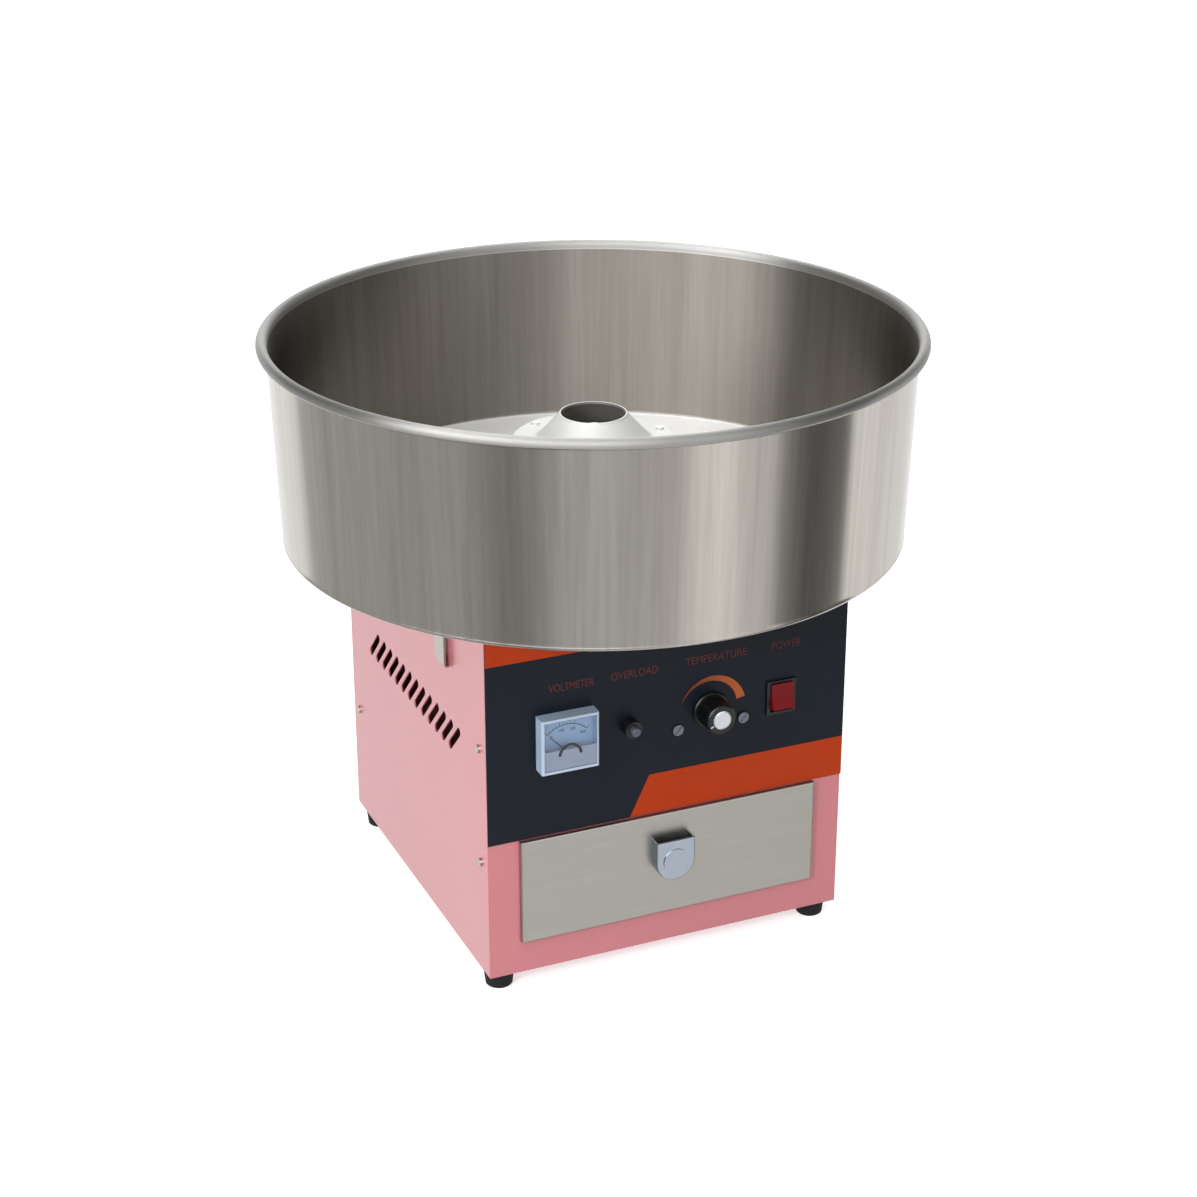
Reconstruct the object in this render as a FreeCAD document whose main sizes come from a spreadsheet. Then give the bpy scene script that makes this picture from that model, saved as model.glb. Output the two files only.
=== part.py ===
import FreeCAD
import Part
import Sketcher
import os

# Commercial candy floss machine: a square sheet steel cabinet with a spinning head on a vertical
# motor shaft, and a wide steel bowl round the head. Millimetres, +Z up, -Y is the control side.
# The origin is on the ground under the motor shaft, which stands in front of the middle of the
# cabinet's depth.

SIZES = {
    # cabinet
    "cabinet_width": 303.0,
    "cabinet_depth": 321.0,
    "shaft_offset": 13.0,
    "cabinet_height": 310.0,
    "sheet_thickness": 1.2,
    "flange_depth": 18.0,
    "edge_radius": 0.9,
    "lip_height": 12.0,
    "shelf_height": 120.0,
    # rubber feet
    "foot_height": 16.0,
    "foot_radius": 12.5,
    "foot_taper": 1.8,
    "foot_inset_x": 14.0,
    "foot_inset_y": 17.5,
    "foot_recess_radius": 4.8,
    "foot_recess_depth": 6.0,
    # sheet metal screws of the cabinet
    "screw_radius": 1.8,
    "screw_head_radius": 3.3,
    "screw_head_height": 1.8,
    "screw_length": 7.0,
    "screw_clearance": 0.15,
    "screw_edge_distance": 15.0,
    "screw_low": 96.0,
    "screw_high": 193.0,
    # clearances
    "cutout_clearance": 0.3,
    "window_clearance": 0.1,
    "brush_clearance": 0.1,
    "shaft_fit": 0.04,
    "running_fit": 0.06,
    # slanted cooling slots of the side panels
    "slot_count": 13,
    "slot_pitch": 15.8,
    "slot_reach": 27.0,
    "slot_width": 7.0,
    "slot_row_height": 177.5,
    "slot_row_shift": 2.0,
    # control fascia and the row of controls on it
    "fascia_bottom": 117.0,
    "fascia_height": 183.0,
    "fascia_thickness": 1.0,
    "control_row_height": 197.0,
    "meter_x": -88.0,
    "breaker_x": -35.0,
    "regulator_x": 34.0,
    "switch_x": 94.5,
    # panel voltmeter
    "meter_width": 47.0,
    "meter_height": 45.0,
    "meter_stand": 12.0,
    "meter_wall": 2.2,
    "meter_drum_radius": 19.0,
    "meter_drum_depth": 26.0,
    "meter_dial_depth": 8.0,
    "meter_dial_thickness": 0.8,
    "meter_glass_thickness": 1.4,
    "meter_mask_height": 16.0,
    "meter_mask_thickness": 1.0,
    "meter_pivot_drop": 9.0,
    "meter_needle_length": 21.0,
    "meter_needle_width": 1.2,
    "meter_needle_hub_radius": 2.2,
    "meter_needle_lift": 1.5,
    "meter_pin_radius": 0.7,
    # overload breaker
    "breaker_collar_radius": 6.9,
    "breaker_collar_length": 10.0,
    "breaker_bush_radius": 5.6,
    "breaker_body_width": 16.0,
    "breaker_body_height": 28.0,
    "breaker_body_depth": 24.0,
    "button_radius": 3.6,
    "button_stand": 5.0,
    "button_travel": 3.0,
    # heat regulator and its knob
    "regulator_body_width": 40.0,
    "regulator_body_height": 40.0,
    "regulator_body_depth": 26.0,
    "regulator_bracket_thickness": 1.5,
    "regulator_bracket_margin": 4.0,
    "regulator_screw_spacing": 56.0,
    "regulator_screw_drop": 12.0,
    "regulator_screw_head_radius": 4.5,
    "regulator_screw_slot": 1.2,
    "spindle_radius": 3.0,
    "spindle_inside_length": 10.0,
    "knob_gap": 0.6,
    "knob_radius": 15.0,
    "knob_grip_radius": 13.2,
    "knob_nose_radius": 12.2,
    "knob_skirt_height": 3.0,
    "knob_length": 21.0,
    "knob_flute_radius": 1.2,
    "knob_flute_count": 12,
    "knob_cap_radius": 7.6,
    "knob_cap_height": 1.2,
    # rocker switch
    "switch_width": 25.0,
    "switch_height": 28.5,
    "switch_bezel_thickness": 2.0,
    "switch_body_inset": 1.6,
    "switch_body_depth": 22.0,
    "rocker_width": 18.4,
    "rocker_height": 20.8,
    "rocker_tilt": 11.0,
    "rocker_pivot_depth": 6.5,
    "rocker_well_floor": 5.0,
    "rocker_stand": 2.0,
    "rocker_pin_radius": 1.2,
    "rocker_end_gap": 1.75,
    # drawer
    "drawer_box_width": 234.0,
    "drawer_box_height": 72.0,
    "drawer_box_depth": 262.0,
    "drawer_box_bottom": 34.0,
    "drawer_wall": 1.0,
    "drawer_front_width": 252.0,
    "drawer_front_height": 88.0,
    "drawer_front_bottom": 28.0,
    "drawer_front_stand": 4.0,
    "drawer_front_gap": 0.4,
    "drawer_travel": 200.0,
    "drawer_ear_reach": 6.0,
    "drawer_ear_height": 14.0,
    "drawer_ear_drop": 4.0,
    "drawer_stop_gap": 0.5,
    "drawer_side_clearance": 0.8,
    "drawer_rest_gap": 0.3,
    "drawer_opening_margin": 1.5,
    "runner_foot": 12.0,
    "runner_shelf": 14.0,
    "runner_guide": 12.0,
    "runner_length": 268.0,
    "pull_width": 33.0,
    "pull_height": 35.0,
    "pull_depth": 10.0,
    "pull_wall": 1.4,
    "pull_top": 18.0,
    "pull_boss_radius": 10.5,
    "pull_boss_height": 0.8,
    # bowl
    "rim_radius": 260.0,
    "bead_radius": 4.3,
    "bowl_depth": 159.5,
    "bowl_foot_radius": 247.0,
    "bowl_foot_bead": 2.2,
    "bowl_skirt": 7.5,
    "bowl_wall": 1.0,
    "bowl_hole_radius": 88.0,
    "bowl_collar_height": 9.0,
    "clip_y": -63.0,
    "clip_width": 20.0,
    "clip_thickness": 1.5,
    "clip_stand": 3.0,
    "clip_length": 75.0,
    "clip_tab": 20.0,
    "clip_bend": 1.5,
    "rivet_radius": 1.6,
    "rivet_head_radius": 3.3,
    "rivet_head_height": 1.1,
    # seat ring on the cabinet that centres the bowl
    "seat_wall": 2.0,
    "seat_height": 7.0,
    "seat_clearance": 0.6,
    "seat_foot_width": 8.0,
    "deck_hole_radius": 30.0,
    # motor and its rubber mounted plate
    "plate_drop": 37.0,
    "plate_size": 150.0,
    "plate_corner_radius": 8.0,
    "plate_thickness": 3.0,
    "plate_hole_radius": 20.0,
    "mount_spacing": 120.0,
    "mount_radius": 10.0,
    "stud_radius": 3.0,
    "nut_radius": 5.8,
    "nut_height": 4.0,
    "motor_radius": 50.0,
    "motor_length": 92.0,
    "motor_wall": 2.4,
    "bell_height": 11.0,
    "bell_web": 3.0,
    "bearing_radius": 13.0,
    "bearing_width": 8.0,
    "stator_inner_radius": 24.6,
    "stator_length": 56.0,
    "rotor_gap": 0.5,
    "shaft_radius": 6.0,
    "fan_radius": 40.0,
    "fan_height": 12.0,
    "fan_gap": 6.0,
    "fan_hub_radius": 11.0,
    "fan_blade_count": 6,
    "fan_blade_thickness": 1.5,
    # slip rings and brush gear
    "ring_carrier_radius": 12.0,
    "ring_radius": 15.0,
    "ring_width": 7.0,
    "ring_gap": 6.0,
    "ring_base": 5.0,
    "brush_gap": 0.3,
    "brush_width": 5.0,
    "brush_height": 5.0,
    "brush_length": 20.0,
    "holder_width": 24.0,
    "holder_height": 30.0,
    "holder_set_back": 1.2,
    "spring_thickness": 0.6,
    # spinning head
    "head_radius": 65.0,
    "head_base_height": 35.0,
    "head_base_thickness": 4.0,
    "head_boss_radius": 14.0,
    "head_boss_height": 9.0,
    "head_inside_height": 23.0,
    "head_cover_thickness": 2.5,
    "band_inset": 1.5,
    "band_thickness": 1.0,
    "band_slot_count": 30,
    "band_slot_width": 5.0,
    "band_slot_margin": 4.0,
    "heater_radius": 52.0,
    "heater_thickness": 2.5,
    "heater_height": 15.0,
    "hub_height": 22.0,
    "hub_base_radius": 46.0,
    "hub_lip_radius": 27.5,
    "hub_hole_radius": 25.3,
    "hub_lip_round": 1.6,
    "hub_flare_radius": 6.0,
    "head_screw_circle": 57.6,
    "head_screw_radius": 1.6,
    "head_screw_head_radius": 3.2,
    "head_screw_head_height": 2.0,
    "head_screw_count": 3,
    # electrical fittings on the shelf and the rear panel
    "capacitor_radius": 18.0,
    "capacitor_height": 60.0,
    "capacitor_x": 88.0,
    "capacitor_y": 108.0,
    "terminal_length": 62.0,
    "terminal_width": 22.0,
    "terminal_height": 17.0,
    "terminal_x": -70.0,
    "terminal_y": 118.0,
    "terminal_ways": 4,
    "gland_x": 90.0,
    "gland_height": 152.0,
    "gland_thread_radius": 8.0,
    "gland_flange_radius": 12.0,
    "gland_flange_thickness": 4.0,
    "gland_cap_radius": 10.0,
    "gland_cap_length": 14.0,
    "gland_bore_radius": 4.2,
    "gland_nut_thickness": 4.0,
}

document = FreeCAD.newDocument("candy_floss_machine")
sheet = document.addObject("Spreadsheet::Sheet", "Sizes")


class Size:
    """A size as a number, together with the spreadsheet expression that gives it."""

    def __init__(self, value, text):
        self.value = float(value)
        self.text = text

    def __add__(self, other):
        other = size(other)
        return Size(self.value + other.value, "(%s + %s)" % (self.text, other.text))

    def __sub__(self, other):
        other = size(other)
        return Size(self.value - other.value, "(%s - %s)" % (self.text, other.text))

    def __mul__(self, other):
        other = size(other)
        return Size(self.value * other.value, "(%s * %s)" % (self.text, other.text))

    def __truediv__(self, other):
        other = size(other)
        return Size(self.value / other.value, "(%s / %s)" % (self.text, other.text))

    def __neg__(self):
        return Size(-self.value, "(0 - %s)" % self.text)

    def __radd__(self, other):
        return size(other) + self

    def __rsub__(self, other):
        return size(other) - self

    def __rmul__(self, other):
        return size(other) * self


def size(value):
    """A plain number, or a size already, as a Size."""
    if isinstance(value, Size):
        return value
    return Size(value, repr(float(value)))


class Sheet:
    """The driving dimensions, each read as an attribute."""

    def __init__(self):
        for row, (alias, value) in enumerate(SIZES.items(), start=1):
            sheet.set("A%d" % row, alias)
            sheet.set("B%d" % row, str(value))
            sheet.setAlias("B%d" % row, alias)
            setattr(self, alias, Size(value, "Sizes." + alias))
        document.recompute()


s = Sheet()
nodes = []

# Faces and levels that several pieces share.
side = s.cabinet_width / 2
depth_middle = s.shaft_offset
back = depth_middle + s.cabinet_depth / 2
front = depth_middle - s.cabinet_depth / 2
ground = s.foot_height
deck = s.foot_height + s.cabinet_height
shelf = ground + s.shelf_height
thin = s.sheet_thickness
inner_side = side - thin
flange_side = side - 2 * thin
face = front - s.fascia_thickness
row = ground + s.control_row_height
screw_hole = s.screw_radius + s.screw_clearance

NORMALS = {"XY": "+Z", "XZ": "-Y", "YZ": "+X"}


def bind(thing, name, value):
    """Ties a property of a document object to its size in the sheet."""
    thing.setExpression(name, size(value).text)


def new_body(name):
    """A body for one piece of the machine, exported under its label."""
    body = document.addObject("PartDesign::Body", name)
    body.Label = name
    nodes.append(body)
    return body


def stand(body, x=0.0, y=0.0, z=0.0, turn=None):
    """Puts a body in its place, turned first if its own axis isn't vertical."""
    if turn:
        body.Placement = FreeCAD.Placement(FreeCAD.Vector(), turn)
    for axis, value in (("x", x), ("y", y), ("z", z)):
        bind(body, "Placement.Base." + axis, value)


FACING_FRONT = FreeCAD.Rotation(FreeCAD.Vector(1, 0, 0), 90)
FACING_BACK = FreeCAD.Rotation(FreeCAD.Vector(1, 0, 0), -90)


class Sketch:
    """A sketch on one of a body's origin planes, moved along the plane's normal axis."""

    def __init__(self, body, plane, at=0.0):
        self.body = body
        self.plane = plane
        self.sketch = body.newObject("Sketcher::SketchObject", body.Name + "_sketch")
        origin_plane = [part for part in body.Origin.OriginFeatures if part.Role == plane + "_Plane"][0]
        self.sketch.AttachmentSupport = [(origin_plane, "")]
        self.sketch.MapMode = "FlatFace"
        bind(self.sketch, "AttachmentOffset.Base.z", -size(at) if plane == "XZ" else at)

    def fix(self, kind, *reference):
        """Adds one constraint whose last entry is a size."""
        value = size(reference[-1])
        index = self.sketch.addConstraint(Sketcher.Constraint(kind, *reference[:-1], value.value))
        self.sketch.setExpression("Constraints[%d]" % index, value.text)

    def place(self, geometry, point, x, y):
        """Fixes one point of a line or circle at its coordinates."""
        self.fix("DistanceX", geometry, point, x)
        self.fix("DistanceY", geometry, point, y)

    def polygon(self, *corners):
        """A closed outline of straight sides."""
        spots = [FreeCAD.Vector(size(x).value, size(y).value, 0) for x, y in corners]
        count = len(spots)
        first = self.sketch.GeometryCount
        for i in range(count):
            self.sketch.addGeometry(Part.LineSegment(spots[i], spots[(i + 1) % count]), False)
        for i in range(count):
            after = first + (i + 1) % count
            self.sketch.addConstraint(Sketcher.Constraint("Coincident", first + i, 2, after, 1))
        for i, (x, y) in enumerate(corners):
            self.place(first + i, 1, x, y)
        return self

    def rectangle(self, left, low, right, high):
        """An upright rectangle between two corners."""
        return self.polygon((left, low), (right, low), (right, high), (left, high))

    def box(self, x, y, width, height):
        """An upright rectangle round its centre."""
        x, y, width, height = (size(value) for value in (x, y, width, height))
        return self.rectangle(x - width / 2, y - height / 2, x + width / 2, y + height / 2)

    def circle(self, x, y, radius):
        """A full circle."""
        centre = FreeCAD.Vector(size(x).value, size(y).value, 0)
        ring = Part.Circle(centre, FreeCAD.Vector(0, 0, 1), size(radius).value)
        index = self.sketch.addGeometry(ring, False)
        self.place(index, 3, x, y)
        self.fix("Radius", index, radius)
        return self

    def obround(self, x, y, dx, dy, radius):
        """A slot with round ends, whose end centres lie at plus and minus (dx, dy) from (x, y)."""
        ends = []
        along = FreeCAD.Vector(size(dx).value, size(dy).value, 0)
        across = FreeCAD.Vector(-along.y, along.x, 0).normalize() * size(radius).value
        middle = FreeCAD.Vector(size(x).value, size(y).value, 0)
        for sign in (1, -1):
            centre = middle + along * sign
            tip = centre + FreeCAD.Vector(along).normalize() * size(radius).value * sign
            arc = Part.Arc(centre - across * sign, tip, centre + across * sign)
            index = self.sketch.addGeometry(arc, False)
            self.place(index, 3, x + sign * dx, y + sign * dy)
            self.fix("Radius", index, radius)
            ends.append(index)
        upper = Part.LineSegment(middle + along + across, middle - along + across)
        lower = Part.LineSegment(middle - along - across, middle + along - across)
        top_line = self.sketch.addGeometry(upper, False)
        low_line = self.sketch.addGeometry(lower, False)
        joints = ((ends[0], 2, top_line, 1), (top_line, 2, ends[1], 1),
                  (ends[1], 2, low_line, 1), (low_line, 2, ends[0], 1))
        for joint in joints:
            self.sketch.addConstraint(Sketcher.Constraint("Tangent", *joint))
        return self

    def pad(self, length, towards):
        """Adds the outline to the body, as thick as length, on the named side of the sketch."""
        pad = self.body.newObject("PartDesign::Pad", self.body.Name + "_pad")
        pad.Profile = self.sketch
        bind(pad, "Length", length)
        pad.Reversed = towards != NORMALS[self.plane]
        return pad

    def pocket(self, depth, towards):
        """Cuts the outline out of the body to a depth, on the named side of the sketch."""
        pocket = self.start_cut("PartDesign::Pocket")
        bind(pocket, "Length", depth)
        pocket.Reversed = towards == NORMALS[self.plane]
        return self.check_cut(pocket)

    def pierce(self):
        """Cuts the outline right through the body, both ways."""
        pocket = self.start_cut("PartDesign::Pocket")
        pocket.Type = "ThroughAll"
        pocket.SideType = "Symmetric"
        return self.check_cut(pocket)

    def revolve(self):
        """Turns the outline into a round body about the vertical axis of the sketch."""
        turned = self.body.newObject("PartDesign::Revolution", self.body.Name + "_revolution")
        turned.Profile = self.sketch
        turned.ReferenceAxis = (self.sketch, ["V_Axis"])
        turned.Angle = 360
        return turned

    def start_cut(self, kind):
        document.recompute()
        self.volume_before = self.body.Shape.Volume
        cut = self.body.newObject(kind, self.body.Name + "_cut")
        cut.Profile = self.sketch
        return cut

    def check_cut(self, cut):
        document.recompute()
        if self.body.Shape.Volume >= self.volume_before:
            raise ValueError("a cut misses " + self.body.Label)
        return cut


def around(body, feature, count):
    """Repeats a feature evenly round the body's own vertical axis."""
    pattern = body.newObject("PartDesign::PolarPattern", body.Name + "_ring")
    pattern.Originals = [feature]
    axis = [part for part in body.Origin.OriginFeatures if part.Role == "Z_Axis"][0]
    pattern.Axis = (axis, [""])
    pattern.Angle = 360
    pattern.setExpression("Occurrences", count.text)
    body.Tip = pattern
    return pattern


def along(body, feature, axis_role, span, count, backwards=False):
    """Repeats a feature in a straight row that covers the span."""
    pattern = body.newObject("PartDesign::LinearPattern", body.Name + "_row")
    pattern.Originals = [feature]
    axis = [part for part in body.Origin.OriginFeatures if part.Role == axis_role][0]
    pattern.Direction = (axis, [""])
    pattern.Reversed = backwards
    bind(pattern, "Length", span)
    pattern.setExpression("Occurrences", count.text)
    body.Tip = pattern
    return pattern


def grid(body, feature, span_x, span_y):
    """Repeats a feature twice along X and twice along Y."""
    rows = []
    for axis_role, span in (("X_Axis", span_x), ("Y_Axis", span_y)):
        step = document.addObject("PartDesign::LinearPattern", body.Name + "_" + axis_role[0])
        axis = [part for part in body.Origin.OriginFeatures if part.Role == axis_role][0]
        step.Direction = (axis, [""])
        bind(step, "Length", span)
        step.Occurrences = 2
        rows.append(step)
    corners = body.newObject("PartDesign::MultiTransform", body.Name + "_grid")
    for step in rows:
        body.addObject(step)
    corners.Originals = [feature]
    corners.Transformations = rows
    body.Tip = corners
    return corners


def round_edges(body, radius, chosen):
    """Rounds the edges that the given test picks from the body's shape."""
    document.recompute()
    base = body.Tip
    names = ["Edge%d" % (i + 1) for i, edge in enumerate(base.Shape.Edges) if chosen(edge)]
    fillet = body.newObject("PartDesign::Fillet", body.Name + "_fillet")
    fillet.Base = (base, names)
    bind(fillet, "Radius", radius)
    return fillet


def is_straight(edge):
    """True for a straight edge."""
    return edge.Curve.TypeId == "Part::GeomLine"


def is_upright(edge):
    """True for a straight vertical edge."""
    first, last = edge.Vertexes[0].Point, edge.Vertexes[-1].Point
    return abs(first.x - last.x) < 1e-6 and abs(first.y - last.y) < 1e-6 and abs(first.z - last.z) > 1e-6


def is_ring(edge, radius, height):
    """True for the circular edge of that radius at that height."""
    box = edge.BoundBox
    level = abs(box.ZMin - height.value) < 0.01 and abs(box.ZMax - height.value) < 0.01
    return level and hasattr(edge.Curve, "Radius") and abs(edge.Curve.Radius - radius.value) < 0.01


def four_corners(sketch, x, y, radius, centre_y=0):
    """Four circles in a rectangle round a place on the Y axis."""
    for sign_x in (1, -1):
        for sign_y in (1, -1):
            sketch.circle(sign_x * x, centre_y + sign_y * y, radius)
    return sketch


# ---------------------------------------------------------------------------------------------
# Cabinet: a base pan, four wall sheets, a shelf and a deck. The front and rear sheets have
# flanges bent back behind the side panels, and the side panels are screwed to those flanges.

foot_x = side - s.foot_inset_x
foot_y = s.cabinet_depth / 2 - s.foot_inset_y
lip_half = s.cabinet_depth / 2 - thin - s.flange_depth - 1
lip_start = depth_middle - lip_half
lip_end = depth_middle + lip_half
screw_front = front + s.screw_edge_distance
screw_back = back - s.screw_edge_distance


def tray(name, low, lip_up):
    """A flat sheet between the walls, with a lip along each side panel."""
    body = new_body(name)
    sheet_plan = Sketch(body, "XY", low)
    sheet_plan.rectangle(-flange_side, front + thin, flange_side, back - thin)
    sheet_plan.pad(thin, "+Z")
    for sign in (1, -1):
        lip = Sketch(body, "XY", low if lip_up else low + thin)
        lip.rectangle(sign * flange_side, lip_start, sign * inner_side, lip_end)
        lip.pad(s.lip_height, "+Z" if lip_up else "-Z")
    return body


base_pan = tray("base_pan", ground, True)
four_corners(Sketch(base_pan, "XY", ground), foot_x, foot_y, screw_hole, depth_middle).pierce()

divider_shelf = tray("divider_shelf", shelf, False)


def wall(name, outer, inward):
    """A front or rear sheet with a flange bent in at each end."""
    body = new_body(name)
    inner = outer + inward * thin
    flange = inner + inward * s.flange_depth
    plan = Sketch(body, "XY", ground)
    plan.polygon((-side, outer), (side, outer), (side, inner), (inner_side, inner),
                 (inner_side, flange), (flange_side, flange), (flange_side, inner),
                 (-flange_side, inner), (-flange_side, flange), (-inner_side, flange),
                 (-inner_side, inner), (-side, inner))
    plan.pad(s.cabinet_height - thin, "+Z")
    screws = Sketch(body, "YZ")
    for height in (s.screw_low, s.screw_high):
        screws.circle(outer + inward * s.screw_edge_distance, ground + height, screw_hole)
    screws.pierce()
    return body


box_half = s.drawer_box_width / 2
box_low = ground + s.drawer_box_bottom
box_high = box_low + s.drawer_box_height
opening_half = box_half + s.drawer_opening_margin
regulator_screw_z = row - s.regulator_screw_drop
switch_body_width = s.switch_width - 2 * s.switch_body_inset
switch_body_height = s.switch_height - 2 * s.switch_body_inset


def control_holes(body, at):
    """The holes that the controls pass through, in one sheet of the control side."""
    holes = Sketch(body, "XZ", at)
    holes.circle(s.meter_x, row, s.meter_drum_radius + s.cutout_clearance)
    holes.circle(s.breaker_x, row, s.breaker_bush_radius + s.cutout_clearance)
    holes.circle(s.regulator_x, row, s.spindle_radius + 1)
    holes.box(s.switch_x, row, switch_body_width + s.cutout_clearance,
              switch_body_height + s.cutout_clearance)
    for sign in (1, -1):
        holes.circle(s.regulator_x + sign * s.regulator_screw_spacing / 2, regulator_screw_z, screw_hole)
    holes.pierce()


front_panel = wall("front_panel", front, 1)
control_holes(front_panel, front)
drawer_opening = Sketch(front_panel, "XZ", front)
drawer_opening.rectangle(-opening_half, box_low - s.drawer_opening_margin,
                         opening_half, box_high + s.drawer_opening_margin)
drawer_opening.pocket(thin, "+Y")

rear_panel = wall("rear_panel", back, -1)
gland_hole = Sketch(rear_panel, "XZ", back)
gland_hole.circle(s.gland_x, ground + s.gland_height, s.gland_thread_radius + s.shaft_fit)
gland_hole.pocket(thin, "-Y")


def side_panel(name, sign):
    """A flat side panel with its row of slanted slots and four screw holes."""
    body = new_body(name)
    outward = "+X" if sign > 0 else "-X"
    outline = Sketch(body, "YZ", sign * inner_side)
    outline.rectangle(front + thin, ground, back - thin, deck - thin)
    outline.pad(thin, outward)
    screws = Sketch(body, "YZ", sign * inner_side)
    for height in (s.screw_low, s.screw_high):
        for place in (screw_front, screw_back):
            screws.circle(place, ground + height, screw_hole)
    screws.pierce()
    span = s.slot_pitch * (s.slot_count - 1)
    tip = (s.slot_reach - s.slot_width) / 2
    slot = Sketch(body, "YZ", sign * inner_side)
    first_slot = depth_middle + s.slot_row_shift - span / 2
    slot.obround(first_slot, ground + s.slot_row_height, -tip, tip, s.slot_width / 2)
    along(body, slot.pocket(thin, outward), "Y_Axis", span, s.slot_count)
    return body


def is_outer_corner(edge):
    """True for the upright edges at the four corners of the cabinet."""
    box = edge.BoundBox
    at_end = min(abs(box.YMax - front.value), abs(box.YMax - back.value)) < 0.01
    return is_upright(edge) and abs(box.XMax) > side.value - 0.01 and at_end


round_edges(front_panel, s.edge_radius, is_outer_corner)
round_edges(rear_panel, s.edge_radius, is_outer_corner)

side_panel("left_side_panel", -1)
side_panel("right_side_panel", 1)

# The deck closes the cabinet and carries the bowl, the seat ring and the motor.
deck_plate = new_body("deck_plate")
deck_plan = Sketch(deck_plate, "XY", deck - thin)
deck_plan.rectangle(-side, front, side, back)
deck_plan.circle(0, 0, s.deck_hole_radius)
deck_plan.pad(thin, "+Z")
is_deck_edge = lambda edge: edge.BoundBox.ZMin > deck.value - 0.01 and is_straight(edge)
round_edges(deck_plate, s.edge_radius, is_deck_edge)
for end in (1, -1):
    deck_lip = Sketch(deck_plate, "XY", deck - thin)
    deck_lip.rectangle(end * flange_side, lip_start, end * inner_side, lip_end)
    deck_lip.pad(s.lip_height, "-Z")


def side_screws():
    """The eight pan head screws that hold the side panels."""
    body = new_body("side_panel_screws")
    for sign, outward, inward in ((1, "+X", "-X"), (-1, "-X", "+X")):
        for radius, length, direction in ((s.screw_head_radius, s.screw_head_height, outward),
                                          (s.screw_radius, s.screw_length, inward)):
            plan = Sketch(body, "YZ", sign * side)
            for height in (s.screw_low, s.screw_high):
                for place in (screw_front, screw_back):
                    plan.circle(place, ground + height, radius)
            plan.pad(length, direction)


side_screws()


# Four tapered rubber feet, each recessed underneath for its screw. The one at the left front is
# turned from its profile and then repeated along the width and the depth.
feet = new_body("rubber_feet")
foot_bottom = s.foot_radius - s.foot_taper
foot_profile = Sketch(feet, "XZ")
foot_profile.polygon((screw_hole, s.foot_recess_depth), (s.foot_recess_radius, s.foot_recess_depth),
                     (s.foot_recess_radius, 0), (foot_bottom - 1, 0), (foot_bottom, 1),
                     (s.foot_radius, s.foot_height), (screw_hole, s.foot_height))
foot_turned = foot_profile.revolve()
grid(feet, foot_turned, 2 * foot_x, 2 * foot_y)
stand(feet, -foot_x, depth_middle - foot_y)

foot_screws = new_body("foot_screws")
foot_shank_length = s.foot_height - s.foot_recess_depth + s.screw_length
for radius, length, towards in ((s.screw_head_radius, s.screw_head_height, "-Z"),
                                (s.screw_radius, foot_shank_length, "+Z")):
    foot_screw_plan = Sketch(foot_screws, "XY", s.foot_recess_depth)
    four_corners(foot_screw_plan, foot_x, foot_y, radius, depth_middle).pad(length, towards)

# ---------------------------------------------------------------------------------------------
# Control side: a printed fascia plate over the front sheet, and four controls in one row.

fascia = new_body("control_fascia")
fascia_plan = Sketch(fascia, "XZ", front)
fascia_low = ground + s.fascia_bottom
fascia_plan.rectangle(-side, fascia_low, side, fascia_low + s.fascia_height)
fascia_plan.pad(s.fascia_thickness, "-Y")
control_holes(fascia, front)

# Voltmeter: a black case with a round drum behind the panel, a dial plate with the pivot pin, a
# clear window, and a mask over the movement in the lower part of the window.
meter_front = face - s.meter_stand
window_width = s.meter_width - 2 * s.meter_wall
window_height = s.meter_height - 2 * s.meter_wall
dial_face = meter_front + s.meter_dial_depth
pivot_z = row - s.meter_pivot_drop
window_low = row - window_height / 2

meter_case = new_body("voltmeter_case")
Sketch(meter_case, "XZ", face).box(s.meter_x, row, s.meter_width, s.meter_height).pad(s.meter_stand, "-Y")
Sketch(meter_case, "XZ", face).circle(s.meter_x, row, s.meter_drum_radius).pad(s.meter_drum_depth, "+Y")
round_edges(meter_case, 1.5, lambda edge: is_upright(edge) and edge.BoundBox.YMin < meter_front.value + 0.01)
window_cut = Sketch(meter_case, "XZ", meter_front).box(s.meter_x, row, window_width, window_height)
window_cut.pocket(s.meter_dial_depth + s.meter_dial_thickness, "+Y")

meter_dial = new_body("voltmeter_dial")
dial_plan = Sketch(meter_dial, "XZ", dial_face)
dial_plan.box(s.meter_x, row, window_width - 2 * s.window_clearance, window_height - 2 * s.window_clearance)
dial_plan.pad(s.meter_dial_thickness, "+Y")
pin_length = s.meter_dial_depth - s.meter_glass_thickness - s.meter_mask_thickness - 1
Sketch(meter_dial, "XZ", dial_face).circle(s.meter_x, pivot_z, s.meter_pin_radius).pad(pin_length, "-Y")

meter_glass = new_body("voltmeter_glass")
glass_plan = Sketch(meter_glass, "XZ", meter_front)
glass_plan.box(s.meter_x, row, window_width, window_height)
glass_plan.pad(s.meter_glass_thickness, "+Y")

meter_mask = new_body("voltmeter_mask")
mask_plan = Sketch(meter_mask, "XZ", meter_front + s.meter_glass_thickness)
mask_plan.rectangle(s.meter_x - window_width / 2, window_low,
                    s.meter_x + window_width / 2, window_low + s.meter_mask_height)
mask_plan.pad(s.meter_mask_thickness, "+Y")

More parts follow.
